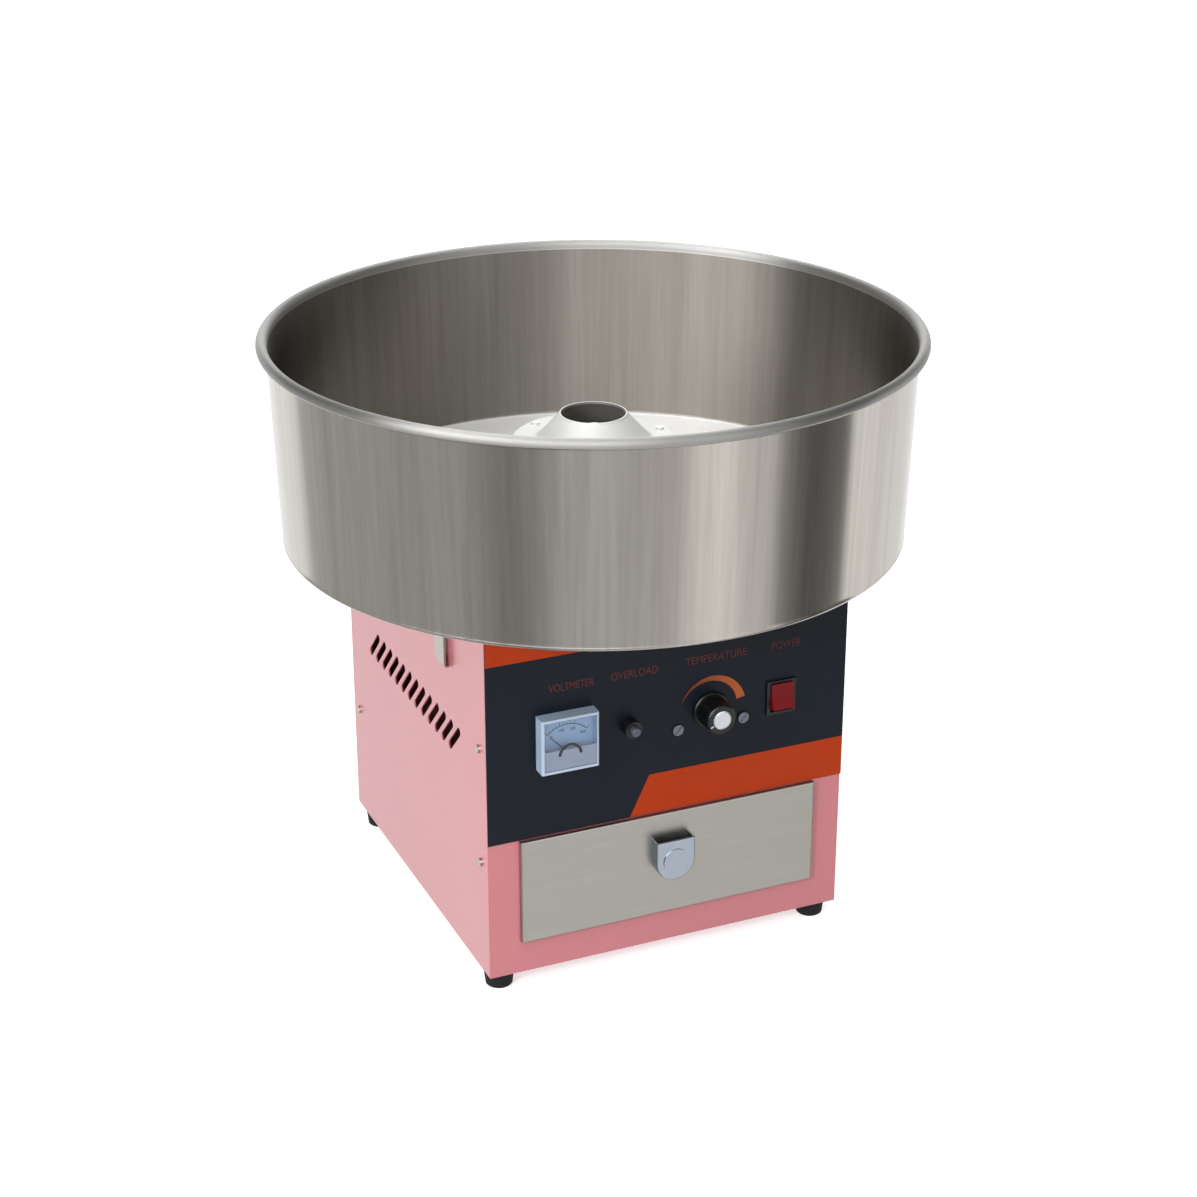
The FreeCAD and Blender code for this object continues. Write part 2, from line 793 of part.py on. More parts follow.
# The needle stands at zero, 45 degrees left of upright, and swings a quarter turn.
needle = new_body("voltmeter_needle")
Sketch(needle, "XY", s.meter_needle_lift).circle(0, 0, s.meter_needle_hub_radius).pad(1.2, "+Z")
blade = Sketch(needle, "XY", s.meter_needle_lift)
blade.polygon((-s.meter_needle_width / 2, 0), (s.meter_needle_width / 2, 0),
              (0.2, s.meter_needle_length), (-0.2, s.meter_needle_length))
blade.pad(0.5, "+Z")
Sketch(needle, "XY").circle(0, 0, s.meter_pin_radius + s.running_fit).pierce()
needle_turn = FACING_FRONT * FreeCAD.Rotation(FreeCAD.Vector(0, 0, 1), 45)
stand(needle, s.meter_x, dial_face, pivot_z, needle_turn)

# Overload breaker: a body behind the panel, a threaded bush with its collar, and a reset button.
breaker = new_body("overload_breaker")
breaker_body = Sketch(breaker, "XZ", front + thin)
breaker_body.box(s.breaker_x, row, s.breaker_body_width, s.breaker_body_height)
breaker_body.pad(s.breaker_body_depth, "+Y")
Sketch(breaker, "XZ", front + thin).circle(s.breaker_x, row, s.breaker_bush_radius).pad(
    thin + s.fascia_thickness, "-Y")
Sketch(breaker, "XZ", face).circle(s.breaker_x, row, s.breaker_collar_radius).pad(
    s.breaker_collar_length, "-Y")
collar_front = face - s.breaker_collar_length
button_bore = s.breaker_collar_length + s.fascia_thickness + thin
Sketch(breaker, "XZ", collar_front).circle(s.breaker_x, row, s.button_radius + s.running_fit).pocket(
    button_bore, "+Y")

button = new_body("overload_reset_button")
button_length = s.button_stand + button_bore - s.button_travel - 0.5
Sketch(button, "XY").circle(0, 0, s.button_radius).pad(button_length, "+Z")
round_edges(button, 0.8, lambda edge: edge.BoundBox.ZMin > button_length.value - 0.01)
stand(button, s.breaker_x, collar_front - s.button_stand + button_length, row, FACING_FRONT)

# Heat regulator: a module on a bracket, held by two screws through the fascia.
regulator = new_body("heat_regulator")
bracket_width = s.regulator_screw_spacing + 4 * s.screw_radius + s.regulator_bracket_margin
bracket_plan = Sketch(regulator, "XZ", front + thin)
bracket_plan.rectangle(s.regulator_x - bracket_width / 2, row - s.regulator_body_height / 2,
                       s.regulator_x + bracket_width / 2, row + s.regulator_body_height / 2)
bracket_plan.pad(s.regulator_bracket_thickness, "+Y")
module_plan = Sketch(regulator, "XZ", front + thin + s.regulator_bracket_thickness)
module_plan.box(s.regulator_x, row, s.regulator_body_width, s.regulator_body_height)
module_plan.pad(s.regulator_body_depth, "+Y")
spindle_bore = Sketch(regulator, "XZ", front + thin)
spindle_bore.circle(s.regulator_x, row, s.spindle_radius + s.running_fit)
spindle_bore.pocket(s.spindle_inside_length + 0.5, "+Y")
bracket_holes = Sketch(regulator, "XZ", front + thin)
for end in (1, -1):
    bracket_holes.circle(s.regulator_x + end * s.regulator_screw_spacing / 2, regulator_screw_z, screw_hole)
bracket_holes.pocket(s.regulator_bracket_thickness, "+Y")

regulator_screws = new_body("regulator_screws")
for radius, length, towards in ((s.regulator_screw_head_radius, s.screw_head_height, "-Y"),
                                (s.screw_radius, s.screw_length, "+Y")):
    pair = Sketch(regulator_screws, "XZ", face)
    for end in (1, -1):
        pair.circle(s.regulator_x + end * s.regulator_screw_spacing / 2, regulator_screw_z, radius)
    pair.pad(length, towards)
driver_slots = Sketch(regulator_screws, "XZ", face - s.screw_head_height)
slot_reach = s.regulator_screw_head_radius * 0.7
for end in (1, -1):
    driver_slots.obround(s.regulator_x + end * s.regulator_screw_spacing / 2, regulator_screw_z,
                         slot_reach * 0.7, slot_reach * 0.7, s.regulator_screw_slot / 2)
driver_slots.pocket(s.screw_head_height / 2, "+Y")

spindle = new_body("regulator_spindle")
spindle_front = s.fascia_thickness + s.knob_length - 4
spindle_plan = Sketch(spindle, "XY", -(thin + s.spindle_inside_length))
spindle_plan.circle(0, 0, s.spindle_radius)
spindle_plan.pad(thin + s.spindle_inside_length + spindle_front, "+Z")
stand(spindle, s.regulator_x, front, row, FACING_FRONT)

knob = new_body("regulator_knob")
cap_seat = s.knob_length - s.knob_cap_height / 2
knob_profile = Sketch(knob, "XZ")
knob_profile.polygon((s.spindle_radius + s.shaft_fit, s.knob_gap), (s.knob_radius, s.knob_gap),
                     (s.knob_radius, s.knob_skirt_height - 0.8),
                     (s.knob_radius - 0.8, s.knob_skirt_height),
                     (s.knob_grip_radius, s.knob_skirt_height), (s.knob_nose_radius, s.knob_length - 1),
                     (s.knob_nose_radius - 1, s.knob_length), (s.knob_cap_radius, s.knob_length),
                     (s.knob_cap_radius, cap_seat), (0, cap_seat), (0, spindle_front - s.fascia_thickness),
                     (s.spindle_radius + s.shaft_fit, spindle_front - s.fascia_thickness))
knob_profile.revolve()
flute = Sketch(knob, "XY", s.knob_length).circle(0, s.knob_grip_radius, s.knob_flute_radius)
around(knob, flute.pocket(s.knob_length - s.knob_skirt_height - 1, "-Z"), s.knob_flute_count)
stand(knob, s.regulator_x, face, row, FACING_FRONT)

knob_cap = new_body("regulator_knob_cap")
cap_profile = Sketch(knob_cap, "XZ")
cap_profile.polygon((0, cap_seat), (s.knob_cap_radius - s.shaft_fit, cap_seat),
                    (s.knob_cap_radius - s.shaft_fit, s.knob_length + 0.2),
                    (s.knob_cap_radius - 1, cap_seat + s.knob_cap_height),
                    (0, cap_seat + s.knob_cap_height))
cap_profile.revolve()
stand(knob_cap, s.regulator_x, face, row, FACING_FRONT)

# Rocker switch: the housing has a bezel outside the fascia and a well for the rocker, which turns
# on two small trunnions and rests with its upper half pressed in.
bezel_face = face - s.switch_bezel_thickness
pivot_y = bezel_face + s.rocker_pivot_depth
well_width = s.rocker_width + 0.7
well_height = s.rocker_height + 2 * s.rocker_end_gap
well_depth = s.rocker_pivot_depth + s.rocker_well_floor

switch = new_body("switch_housing")
Sketch(switch, "XZ", face).box(s.switch_x, row, s.switch_width, s.switch_height).pad(
    s.switch_bezel_thickness, "-Y")
Sketch(switch, "XZ", face).box(s.switch_x, row, switch_body_width, switch_body_height).pad(
    s.switch_body_depth, "+Y")
Sketch(switch, "XZ", bezel_face).box(s.switch_x, row, well_width, well_height).pocket(well_depth, "+Y")
trunnion_reach = s.rocker_width / 2 + 1.4
trunnion_holes = Sketch(switch, "YZ", s.switch_x - trunnion_reach - 0.1)
trunnion_holes.circle(pivot_y, row, s.rocker_pin_radius + s.running_fit)
trunnion_holes.pocket(2 * trunnion_reach + 0.2, "+X")

rocker = new_body("switch_rocker")
rocker_half = s.rocker_height / 2
valley = -(s.rocker_pivot_depth + s.rocker_stand)
crest = valley - rocker_half * 0.19
rocker_side = Sketch(rocker, "YZ", -s.rocker_width / 2)
rocker_side.polygon((valley, 0), (crest, rocker_half), (2, rocker_half), (2, -rocker_half),
                    (crest, -rocker_half))
rocker_side.pad(s.rocker_width, "+X")
Sketch(rocker, "YZ", -trunnion_reach).circle(0, 0, s.rocker_pin_radius).pad(2 * trunnion_reach, "+X")
tilt = FreeCAD.Rotation(FreeCAD.Vector(1, 0, 0), -SIZES["rocker_tilt"])
stand(rocker, s.switch_x, pivot_y, row, tilt)

# ---------------------------------------------------------------------------------------------
# Drawer: a folded steel box on two runners, with a steel front that stands proud of the cabinet
# and a cup pull that is open at the top. Two ears on the box stop it behind the front sheet.

drawer_back = front - s.drawer_front_gap
drawer_face = drawer_back - s.drawer_front_stand
drawer_box_start = drawer_face + s.drawer_wall
drawer_box_end = drawer_box_start + s.drawer_box_depth
front_low = ground + s.drawer_front_bottom
front_high = front_low + s.drawer_front_height
front_half = s.drawer_front_width / 2


def drawer_runner(name, sign):
    """A runner that stands on the base pan: a foot, a web that guides the drawer, and a shelf."""
    body = new_body(name)
    web = box_half + s.drawer_side_clearance
    low = ground + thin
    shelf_top = box_low - s.drawer_rest_gap
    outline = Sketch(body, "XZ", front + thin)
    points = ((web, low), (web + s.runner_foot, low), (web + s.runner_foot, low + thin),
              (web + thin, low + thin), (web + thin, box_low + s.runner_guide),
              (web, box_low + s.runner_guide), (web, shelf_top), (web - s.runner_shelf, shelf_top),
              (web - s.runner_shelf, shelf_top - thin), (web, shelf_top - thin))
    outline.polygon(*[(sign * x, z) for x, z in points])
    outline.pad(s.runner_length, "+Y")


drawer_runner("left_drawer_runner", -1)
drawer_runner("right_drawer_runner", 1)

drawer_box = new_body("drawer_box")
Sketch(drawer_box, "XZ", drawer_box_start).rectangle(-box_half, box_low, box_half, box_high).pad(
    s.drawer_box_depth, "+Y")
box_inside = Sketch(drawer_box, "XY", box_high)
box_inside.rectangle(-box_half + s.drawer_wall, drawer_box_start + s.drawer_wall,
                     box_half - s.drawer_wall, drawer_box_end - s.drawer_wall)
box_inside.pocket(s.drawer_box_height - s.drawer_wall, "-Z")
ear_high = box_high - s.drawer_ear_drop
ear_start = front + thin + s.drawer_travel + s.drawer_stop_gap
for end in (1, -1):
    ear = Sketch(drawer_box, "XZ", ear_start)
    ear.rectangle(end * (box_half - s.drawer_wall), ear_high - s.drawer_ear_height,
                  end * (box_half + s.drawer_ear_reach), ear_high)
    ear.pad(s.drawer_wall, "+Y")

drawer_front = new_body("drawer_front")
Sketch(drawer_front, "XZ", drawer_face).rectangle(-front_half, front_low, front_half, front_high).pad(
    s.drawer_front_stand, "+Y")
round_edges(drawer_front, 1.2, lambda edge: edge.BoundBox.YMax < drawer_face.value + 0.01)
front_inside = Sketch(drawer_front, "XZ", drawer_back)
front_inside.rectangle(-front_half + s.drawer_wall, front_low + s.drawer_wall,
                       front_half - s.drawer_wall, front_high - s.drawer_wall)
front_inside.pocket(s.drawer_front_stand - s.drawer_wall, "-Y")

pull_high = (front_low + front_high) / 2 + s.pull_height * 0.68
pull_radius = s.pull_width / 2


def pull_outline(sketch, radius, top):
    """A shield outline: straight sides down from a flat top, and a half round bottom."""
    centre_z = pull_high - s.pull_top
    middle = FreeCAD.Vector(0, centre_z.value, 0)
    left = FreeCAD.Vector(-radius.value, centre_z.value, 0)
    right = FreeCAD.Vector(radius.value, centre_z.value, 0)
    lowest = middle - FreeCAD.Vector(0, radius.value, 0)
    bottom = sketch.sketch.addGeometry(Part.Arc(left, lowest, right), False)
    sketch.fix("DistanceY", bottom, 3, centre_z)
    corners = ((radius, centre_z), (radius, top), (-radius, top), (-radius, centre_z))
    lines = []
    for start, stop in zip(corners, corners[1:]):
        segment = Part.LineSegment(FreeCAD.Vector(start[0].value, start[1].value, 0),
                                   FreeCAD.Vector(stop[0].value, stop[1].value, 0))
        index = sketch.sketch.addGeometry(segment, False)
        sketch.place(index, 1, *start)
        lines.append(index)
    sketch.place(lines[-1], 2, *corners[-1])
    for first, second in zip(lines, lines[1:]):
        sketch.sketch.addConstraint(Sketcher.Constraint("Coincident", first, 2, second, 1))
    sketch.sketch.addConstraint(Sketcher.Constraint("Coincident", bottom, 2, lines[0], 1))
    sketch.sketch.addConstraint(Sketcher.Constraint("Coincident", lines[-1], 2, bottom, 1))
    return sketch


pull = new_body("drawer_pull")
pull_outline(Sketch(pull, "XZ", drawer_face), pull_radius, pull_high).pad(s.pull_depth, "-Y")
pull_inside = pull_outline(Sketch(pull, "XZ", drawer_face), pull_radius - s.pull_wall, pull_high + 1)
pull_inside.pocket(s.pull_depth - s.pull_wall, "-Y")
pull_face = drawer_face - s.pull_depth
round_edges(pull, s.pull_wall * 0.8, lambda edge: edge.BoundBox.YMax < pull_face.value + 0.01)
Sketch(pull, "XZ", pull_face).circle(0, pull_high - s.pull_top, s.pull_boss_radius).pad(
    s.pull_boss_height, "-Y")

# ---------------------------------------------------------------------------------------------
# Bowl: a spun steel pan with a wired rim, a beaded foot that hangs round the cabinet, and a
# turned up collar round its centre hole. Two spring straps under it grip the cabinet's sides.

bowl_low = deck - s.bowl_skirt
rim_height = bowl_low + s.bowl_depth
rim_centre = s.rim_radius - s.bead_radius
wall_top = s.rim_radius - 2 * s.bead_radius + s.bowl_wall
wall_slope = (wall_top - s.bowl_foot_radius) / s.bowl_depth
floor_edge = s.bowl_foot_radius + wall_slope * s.bowl_skirt - s.bowl_wall / 2
foot_bead_height = bowl_low + s.bowl_foot_bead

bowl = new_body("bowl")
bowl_wall = Sketch(bowl, "XZ")
bowl_wall.polygon((s.bowl_foot_radius, foot_bead_height), (wall_top, rim_height),
                  (wall_top - s.bowl_wall, rim_height), (s.bowl_foot_radius - s.bowl_wall, foot_bead_height))
bowl_wall.revolve()
bowl_floor = Sketch(bowl, "XZ")
bowl_floor.polygon((s.bowl_hole_radius, deck), (floor_edge, deck), (floor_edge, deck + s.bowl_wall),
                   (s.bowl_hole_radius + s.bowl_wall, deck + s.bowl_wall),
                   (s.bowl_hole_radius + s.bowl_wall, deck + s.bowl_collar_height),
                   (s.bowl_hole_radius, deck + s.bowl_collar_height))
bowl_floor.revolve()
Sketch(bowl, "XZ").circle(rim_centre, rim_height, s.bead_radius).revolve()
foot_bead_centre = s.bowl_foot_radius - s.bowl_foot_bead + 0.3
Sketch(bowl, "XZ").circle(foot_bead_centre, foot_bead_height, s.bowl_foot_bead).revolve()
rivet_x = side + s.clip_stand + s.clip_thickness + s.clip_tab / 2
rivet_holes = Sketch(bowl, "XY", deck)
for end in (1, -1):
    rivet_holes.circle(end * rivet_x, s.clip_y, s.rivet_radius + s.shaft_fit)
rivet_holes.pocket(s.bowl_wall, "+Z")


def is_bend(edge, x, z):
    """True for the edge along Y at the given place in front view."""
    box = edge.BoundBox
    at_place = abs(box.XMin - x.value) < 0.01 and abs(box.ZMin - z.value) < 0.01
    return at_place and box.XLength < 0.01 and box.ZLength < 0.01


def bowl_clip(name, sign):
    """A spring strap riveted under the bowl's floor, with a toe bent in at its lower end."""
    body = new_body(name)
    inner = side + s.clip_stand
    outer = inner + s.clip_thickness
    low = deck - s.clip_length
    points = ((inner, deck), (outer + s.clip_tab, deck), (outer + s.clip_tab, deck - s.clip_thickness),
              (outer, deck - s.clip_thickness), (outer, low), (side + 0.4, low),
              (side + 0.4, low + s.clip_thickness), (inner, low + s.clip_thickness))
    outline = Sketch(body, "XZ", s.clip_y - s.clip_width / 2)
    outline.polygon(*[(sign * x, z) for x, z in points])
    outline.pad(s.clip_width, "+Y")
    outside_bend = s.clip_bend + s.clip_thickness
    for radius, x, z in ((outside_bend, inner, deck), (s.clip_bend, outer, deck - s.clip_thickness),
                         (outside_bend, outer, low), (s.clip_bend, inner, low + s.clip_thickness)):
        round_edges(body, radius, lambda edge: is_bend(edge, sign * x, z))
    hole = Sketch(body, "XY", deck)
    hole.circle(sign * rivet_x, s.clip_y, s.rivet_radius + s.shaft_fit)
    hole.pocket(s.clip_thickness, "-Z")


bowl_clip("left_bowl_clip", -1)
bowl_clip("right_bowl_clip", 1)

rivets = new_body("bowl_clip_rivets")
for radius, low, length in ((s.rivet_radius, deck - s.clip_thickness, s.clip_thickness + s.bowl_wall),
                            (s.rivet_head_radius, deck + s.bowl_wall, s.rivet_head_height),
                            (s.rivet_head_radius, deck - s.clip_thickness - s.rivet_head_height,
                             s.rivet_head_height)):
    rivet_plan = Sketch(rivets, "XY", low)
    for end in (1, -1):
        rivet_plan.circle(end * rivet_x, s.clip_y, radius)
    rivet_plan.pad(length, "+Z")

# The seat ring stands on the deck inside the bowl's collar.
seat = new_body("bowl_seat_ring")
seat_outer = s.bowl_hole_radius - s.seat_clearance
seat_inner = seat_outer - s.seat_wall
seat_profile = Sketch(seat, "XZ")
seat_profile.polygon((seat_inner - s.seat_foot_width, deck), (seat_outer, deck),
                     (seat_outer, deck + s.seat_height), (seat_inner, deck + s.seat_height),
                     (seat_inner, deck + s.seat_wall), (seat_inner - s.seat_foot_width, deck + s.seat_wall))
seat_profile.revolve()

# ---------------------------------------------------------------------------------------------
# Motor: it hangs under a steel plate that four rubber mounts hold below the deck.

plate_top = deck - s.plate_drop
plate_low = plate_top - s.plate_thickness
mount_offset = s.mount_spacing / 2
stud_hole = s.stud_radius + s.running_fit

motor_plate = new_body("motor_plate")
Sketch(motor_plate, "XY", plate_low).box(0, 0, s.plate_size, s.plate_size).pad(s.plate_thickness, "+Z")
round_edges(motor_plate, s.plate_corner_radius, is_upright)
Sketch(motor_plate, "XY", plate_low).circle(0, 0, s.plate_hole_radius).pierce()
four_corners(Sketch(motor_plate, "XY", plate_low), mount_offset, mount_offset, stud_hole).pierce()

mounts = new_body("rubber_motor_mounts")
mount_height = s.plate_drop - thin
four_corners(Sketch(mounts, "XY", plate_top), mount_offset, mount_offset, s.mount_radius).pad(
    mount_height, "+Z")
four_corners(Sketch(mounts, "XY", plate_top), mount_offset, mount_offset, stud_hole).pierce()

studs = new_body("motor_mount_studs")
stud_low = plate_low - s.nut_height - 2
four_corners(Sketch(studs, "XY", stud_low), mount_offset, mount_offset, s.stud_radius).pad(
    deck - thin - stud_low, "+Z")
four_corners(Sketch(studs, "XY", plate_low), mount_offset, mount_offset, s.nut_radius).pad(
    s.nut_height, "-Z")

motor_top = plate_low
motor_low = motor_top - s.motor_length
shell_low = motor_low + s.bell_height
shell_high = motor_top - s.bell_height
shell_inner = s.motor_radius - s.motor_wall
bearing_pocket = s.bearing_radius + s.shaft_fit

shell = new_body("motor_shell")
Sketch(shell, "XZ").rectangle(shell_inner, shell_low, s.motor_radius, shell_high).revolve()


def end_bell(name, outer_level, inward):
    """An end casting of the motor: a web, a rim that meets the shell, and a bearing boss."""
    body = new_body(name)
    web = outer_level + inward * s.bell_web
    rim = outer_level + inward * s.bell_height
    boss = bearing_pocket + 3
    profile = Sketch(body, "XZ")
    profile.polygon((s.shaft_radius + 1.5, outer_level), (s.motor_radius, outer_level),
                    (s.motor_radius, rim), (shell_inner, rim), (shell_inner, web), (boss, web),
                    (boss, rim), (bearing_pocket, rim), (bearing_pocket, web),
                    (s.shaft_radius + 1.5, web))
    profile.revolve()


end_bell("motor_upper_bell", motor_top, -1)
end_bell("motor_lower_bell", motor_low, 1)

bearings = new_body("motor_bearings")
for start, inward in ((motor_top - s.bell_web, -1), (motor_low + s.bell_web, 1)):
    Sketch(bearings, "XZ").rectangle(s.shaft_radius + s.running_fit, start, s.bearing_radius,
                                     start + inward * s.bearing_width).revolve()

stator_low = (motor_top + motor_low) / 2 - s.stator_length / 2
stator = new_body("motor_stator")
Sketch(stator, "XZ").rectangle(s.stator_inner_radius, stator_low, shell_inner - s.shaft_fit,
                               stator_low + s.stator_length).revolve()

# ---------------------------------------------------------------------------------------------
# Spinning group: the shaft carries the rotor, the cooling fan, two slip rings and the head.

fan_high = motor_low - s.fan_gap
head_low = deck + s.head_base_height
head_floor = head_low + s.head_base_thickness
head_ceiling = head_floor + s.head_inside_height
head_top = head_ceiling + s.head_cover_thickness
boss_high = head_floor + s.head_boss_height
on_shaft = s.shaft_radius + s.shaft_fit

shaft = new_body("motor_shaft")
shaft_low = fan_high - s.fan_height - 3
Sketch(shaft, "XY", shaft_low).circle(0, 0, s.shaft_radius).pad(boss_high + 2 - shaft_low, "+Z")

rotor = new_body("motor_rotor")
Sketch(rotor, "XZ").rectangle(on_shaft, stator_low, s.stator_inner_radius - s.rotor_gap,
                              stator_low + s.stator_length).revolve()

fan = new_body("cooling_fan")
Sketch(fan, "XZ").polygon((on_shaft, fan_high - s.fan_height), (s.fan_hub_radius, fan_high - s.fan_height),
                          (s.fan_hub_radius, fan_high - 1.5), (s.fan_radius, fan_high - 1.5),
                          (s.fan_radius, fan_high), (on_shaft, fan_high)).revolve()
fan_blade = Sketch(fan, "XY", fan_high - 1.5)
fan_blade.rectangle(s.fan_hub_radius - 1, -s.fan_blade_thickness / 2, s.fan_radius - 1,
                    s.fan_blade_thickness / 2)
around(fan, fan_blade.pad(s.fan_height - 1.5, "-Z"), s.fan_blade_count)

ring_low = plate_top + s.ring_base
carrier_height = 2 * s.ring_width + 3 * s.ring_gap
carrier = new_body("slip_ring_carrier")
Sketch(carrier, "XZ").rectangle(on_shaft, plate_top, s.ring_carrier_radius,
                                plate_top + s.ring_base + carrier_height - s.ring_gap).revolve()


upper_ring_low = ring_low + s.ring_width + s.ring_gap
slip_rings = new_body("slip_rings")
for low in (ring_low, upper_ring_low):
    Sketch(slip_rings, "XZ").rectangle(s.ring_carrier_radius + s.shaft_fit, low, s.ring_radius,
                                       low + s.ring_width).revolve()

head_base = new_body("head_base")
Sketch(head_base, "XZ").polygon((on_shaft, head_low), (s.head_radius, head_low),
                                (s.head_radius, head_floor), (s.head_boss_radius, head_floor),
                                (s.head_boss_radius - 1, boss_high), (on_shaft, boss_high)).revolve()
head_screw_hole = Sketch(head_base, "XY", head_low)
head_screw_hole.circle(s.head_screw_circle, 0, s.head_screw_radius + s.shaft_fit)
around(head_base, head_screw_hole.pocket(s.head_base_thickness, "+Z"), s.head_screw_count)

heater = new_body("heater_ring")
Sketch(heater, "XZ").rectangle(s.heater_radius, head_floor, s.heater_radius + s.heater_thickness,
                               head_floor + s.heater_height).revolve()

band = new_body("head_mesh_band")
band_outer = s.head_radius - s.band_inset
Sketch(band, "XZ").rectangle(band_outer - s.band_thickness, head_floor, band_outer, head_ceiling).revolve()
band_slot = Sketch(band, "XZ", 0)
band_slot.rectangle(-s.band_slot_width / 2, head_floor + s.band_slot_margin,
                    s.band_slot_width / 2, head_ceiling - s.band_slot_margin)
around(band, band_slot.pocket(s.head_radius, "-Y"), s.band_slot_count)

# The cover rises into a conical hub, and sugar is poured into the hole at its top.
cover = new_body("head_cover")
hub_top = head_top + s.hub_height
hub_inner_base = s.hub_base_radius - s.head_cover_thickness
cover_profile = Sketch(cover, "XZ")
cover_profile.polygon((hub_inner_base, head_ceiling), (s.head_radius, head_ceiling),
                      (s.head_radius, head_top - 0.8), (s.head_radius - 0.8, head_top),
                      (s.hub_base_radius, head_top),
                      (s.hub_lip_radius, hub_top - s.hub_lip_round),
                      (s.hub_lip_radius - s.hub_lip_round / 2, hub_top),
                      (s.hub_hole_radius + 0.4, hub_top),
                      (s.hub_hole_radius, hub_top - s.hub_lip_round))
cover_profile.revolve()
round_edges(cover, s.hub_flare_radius, lambda edge: is_ring(edge, s.hub_base_radius, head_top))
round_edges(cover, s.hub_flare_radius + s.head_cover_thickness,
            lambda edge: is_ring(edge, hub_inner_base, head_ceiling))
cover_screw_hole = Sketch(cover, "XY", head_ceiling)
cover_screw_hole.circle(s.head_screw_circle, 0, s.head_screw_radius + s.shaft_fit)
around(cover, cover_screw_hole.pocket(s.head_cover_thickness, "+Z"), s.head_screw_count)

head_screws = new_body("head_screws")
head_shank = Sketch(head_screws, "XY", head_low)
head_shank.circle(s.head_screw_circle, 0, s.head_screw_radius)
shank_pad = head_shank.pad(head_top - head_low, "+Z")
head_cap = Sketch(head_screws, "XY", head_top)
head_cap.circle(s.head_screw_circle, 0, s.head_screw_head_radius)
cap_pad = head_cap.pad(s.head_screw_head_height, "+Z")
around(head_screws, cap_pad, s.head_screw_count).Originals = [shank_pad, cap_pad]

# Brush gear: a moulded holder on the motor plate, two carbon brushes and the leaf spring that
# presses them towards the rings.
brush_tip = s.ring_radius + s.brush_gap
holder_start = brush_tip + s.holder_set_back
brush_end = brush_tip + s.brush_length
brush_levels = (ring_low + s.ring_width / 2, upper_ring_low + s.ring_width / 2)

holder = new_body("brush_holder")
Sketch(holder, "XZ", holder_start).rectangle(-s.holder_width / 2, plate_top, s.holder_width / 2,
                                             plate_top + s.holder_height).pad(
    brush_end - holder_start, "+Y")
brush_slots = Sketch(holder, "XZ", holder_start)
for level in brush_levels:
    brush_slots.box(0, level, s.brush_width + 2 * s.brush_clearance, s.brush_height + 2 * s.brush_clearance)
brush_slots.pierce()

brushes = new_body("carbon_brushes")
brush_ends = Sketch(brushes, "XZ", brush_tip)
for level in brush_levels:
    brush_ends.box(0, level, s.brush_width, s.brush_height)
brush_ends.pad(s.brush_length, "+Y")

spring = new_body("brush_leaf_spring")
Sketch(spring, "XZ", brush_end).rectangle(-s.brush_width / 2, plate_top + 2, s.brush_width / 2,
                                          plate_top + s.holder_height - 1).pad(s.spring_thickness, "+Y")

# ---------------------------------------------------------------------------------------------
# Electrical fittings: a run capacitor and a terminal block on the shelf, and the cable gland.

shelf_top = shelf + thin
capacitor = new_body("run_capacitor")
Sketch(capacitor, "XZ").polygon((0, 0), (s.capacitor_radius, 0), (s.capacitor_radius, s.capacitor_height - 2),
                                (s.capacitor_radius - 2, s.capacitor_height), (4, s.capacitor_height),
                                (4, s.capacitor_height + 4), (0, s.capacitor_height + 4)).revolve()
stand(capacitor, s.capacitor_x, s.capacitor_y, shelf_top)

terminals = new_body("terminal_block")
Sketch(terminals, "XY").box(0, 0, s.terminal_length, s.terminal_width).pad(s.terminal_height, "+Z")
way_pitch = s.terminal_length / s.terminal_ways
screw_well = Sketch(terminals, "XY", s.terminal_height)
screw_well.circle(way_pitch / 2 - s.terminal_length / 2, 0, 3)
along(terminals, screw_well.pocket(6, "-Z"), "X_Axis", s.terminal_length - way_pitch, s.terminal_ways)
stand(terminals, s.terminal_x, s.terminal_y, shelf_top)

gland = new_body("cable_gland")
gland_depth = thin + s.gland_nut_thickness + 2
Sketch(gland, "XZ").polygon((s.gland_bore_radius, -gland_depth), (s.gland_thread_radius, -gland_depth),
                            (s.gland_thread_radius, 0), (s.gland_flange_radius, 0),
                            (s.gland_flange_radius, s.gland_flange_thickness),
                            (s.gland_cap_radius, s.gland_flange_thickness),
                            (s.gland_cap_radius, s.gland_cap_length - 3),
                            (s.gland_bore_radius + 2, s.gland_cap_length),
                            (s.gland_bore_radius, s.gland_cap_length)).revolve()
stand(gland, s.gland_x, back, ground + s.gland_height, FACING_BACK)

gland_nut = new_body("gland_nut")
nut_corner = s.gland_flange_radius
nut_plan = Sketch(gland_nut, "XY", -(thin + s.gland_nut_thickness))
nut_plan.polygon((nut_corner, 0), (nut_corner * 0.5, nut_corner * 0.866),
                 (nut_corner * -0.5, nut_corner * 0.866), (-nut_corner, 0),
                 (nut_corner * -0.5, nut_corner * -0.866), (nut_corner * 0.5, nut_corner * -0.866))
nut_plan.circle(0, 0, s.gland_thread_radius + s.shaft_fit)
nut_plan.pad(s.gland_nut_thickness, "+Z")
stand(gland_nut, s.gland_x, back, ground + s.gland_height, FACING_BACK)

# ---------------------------------------------------------------------------------------------
# Every object has to be sound before anything is written.

document.recompute()
for thing in document.Objects:
    if "Invalid" in thing.State or "Error" in thing.State:
        raise ValueError("failed object: " + thing.Name)
for body in nodes:
    if body.Shape.isNull() or not body.Shape.isValid() or not body.Shape.Solids:
        raise ValueError("bad shape: " + body.Label)

os.makedirs("parts", exist_ok=True)
for body in nodes:
    body.Shape.exportStep("parts/" + body.Label + ".step")
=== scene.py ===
import bpy
import bmesh
import math
from mathutils import Matrix, Vector


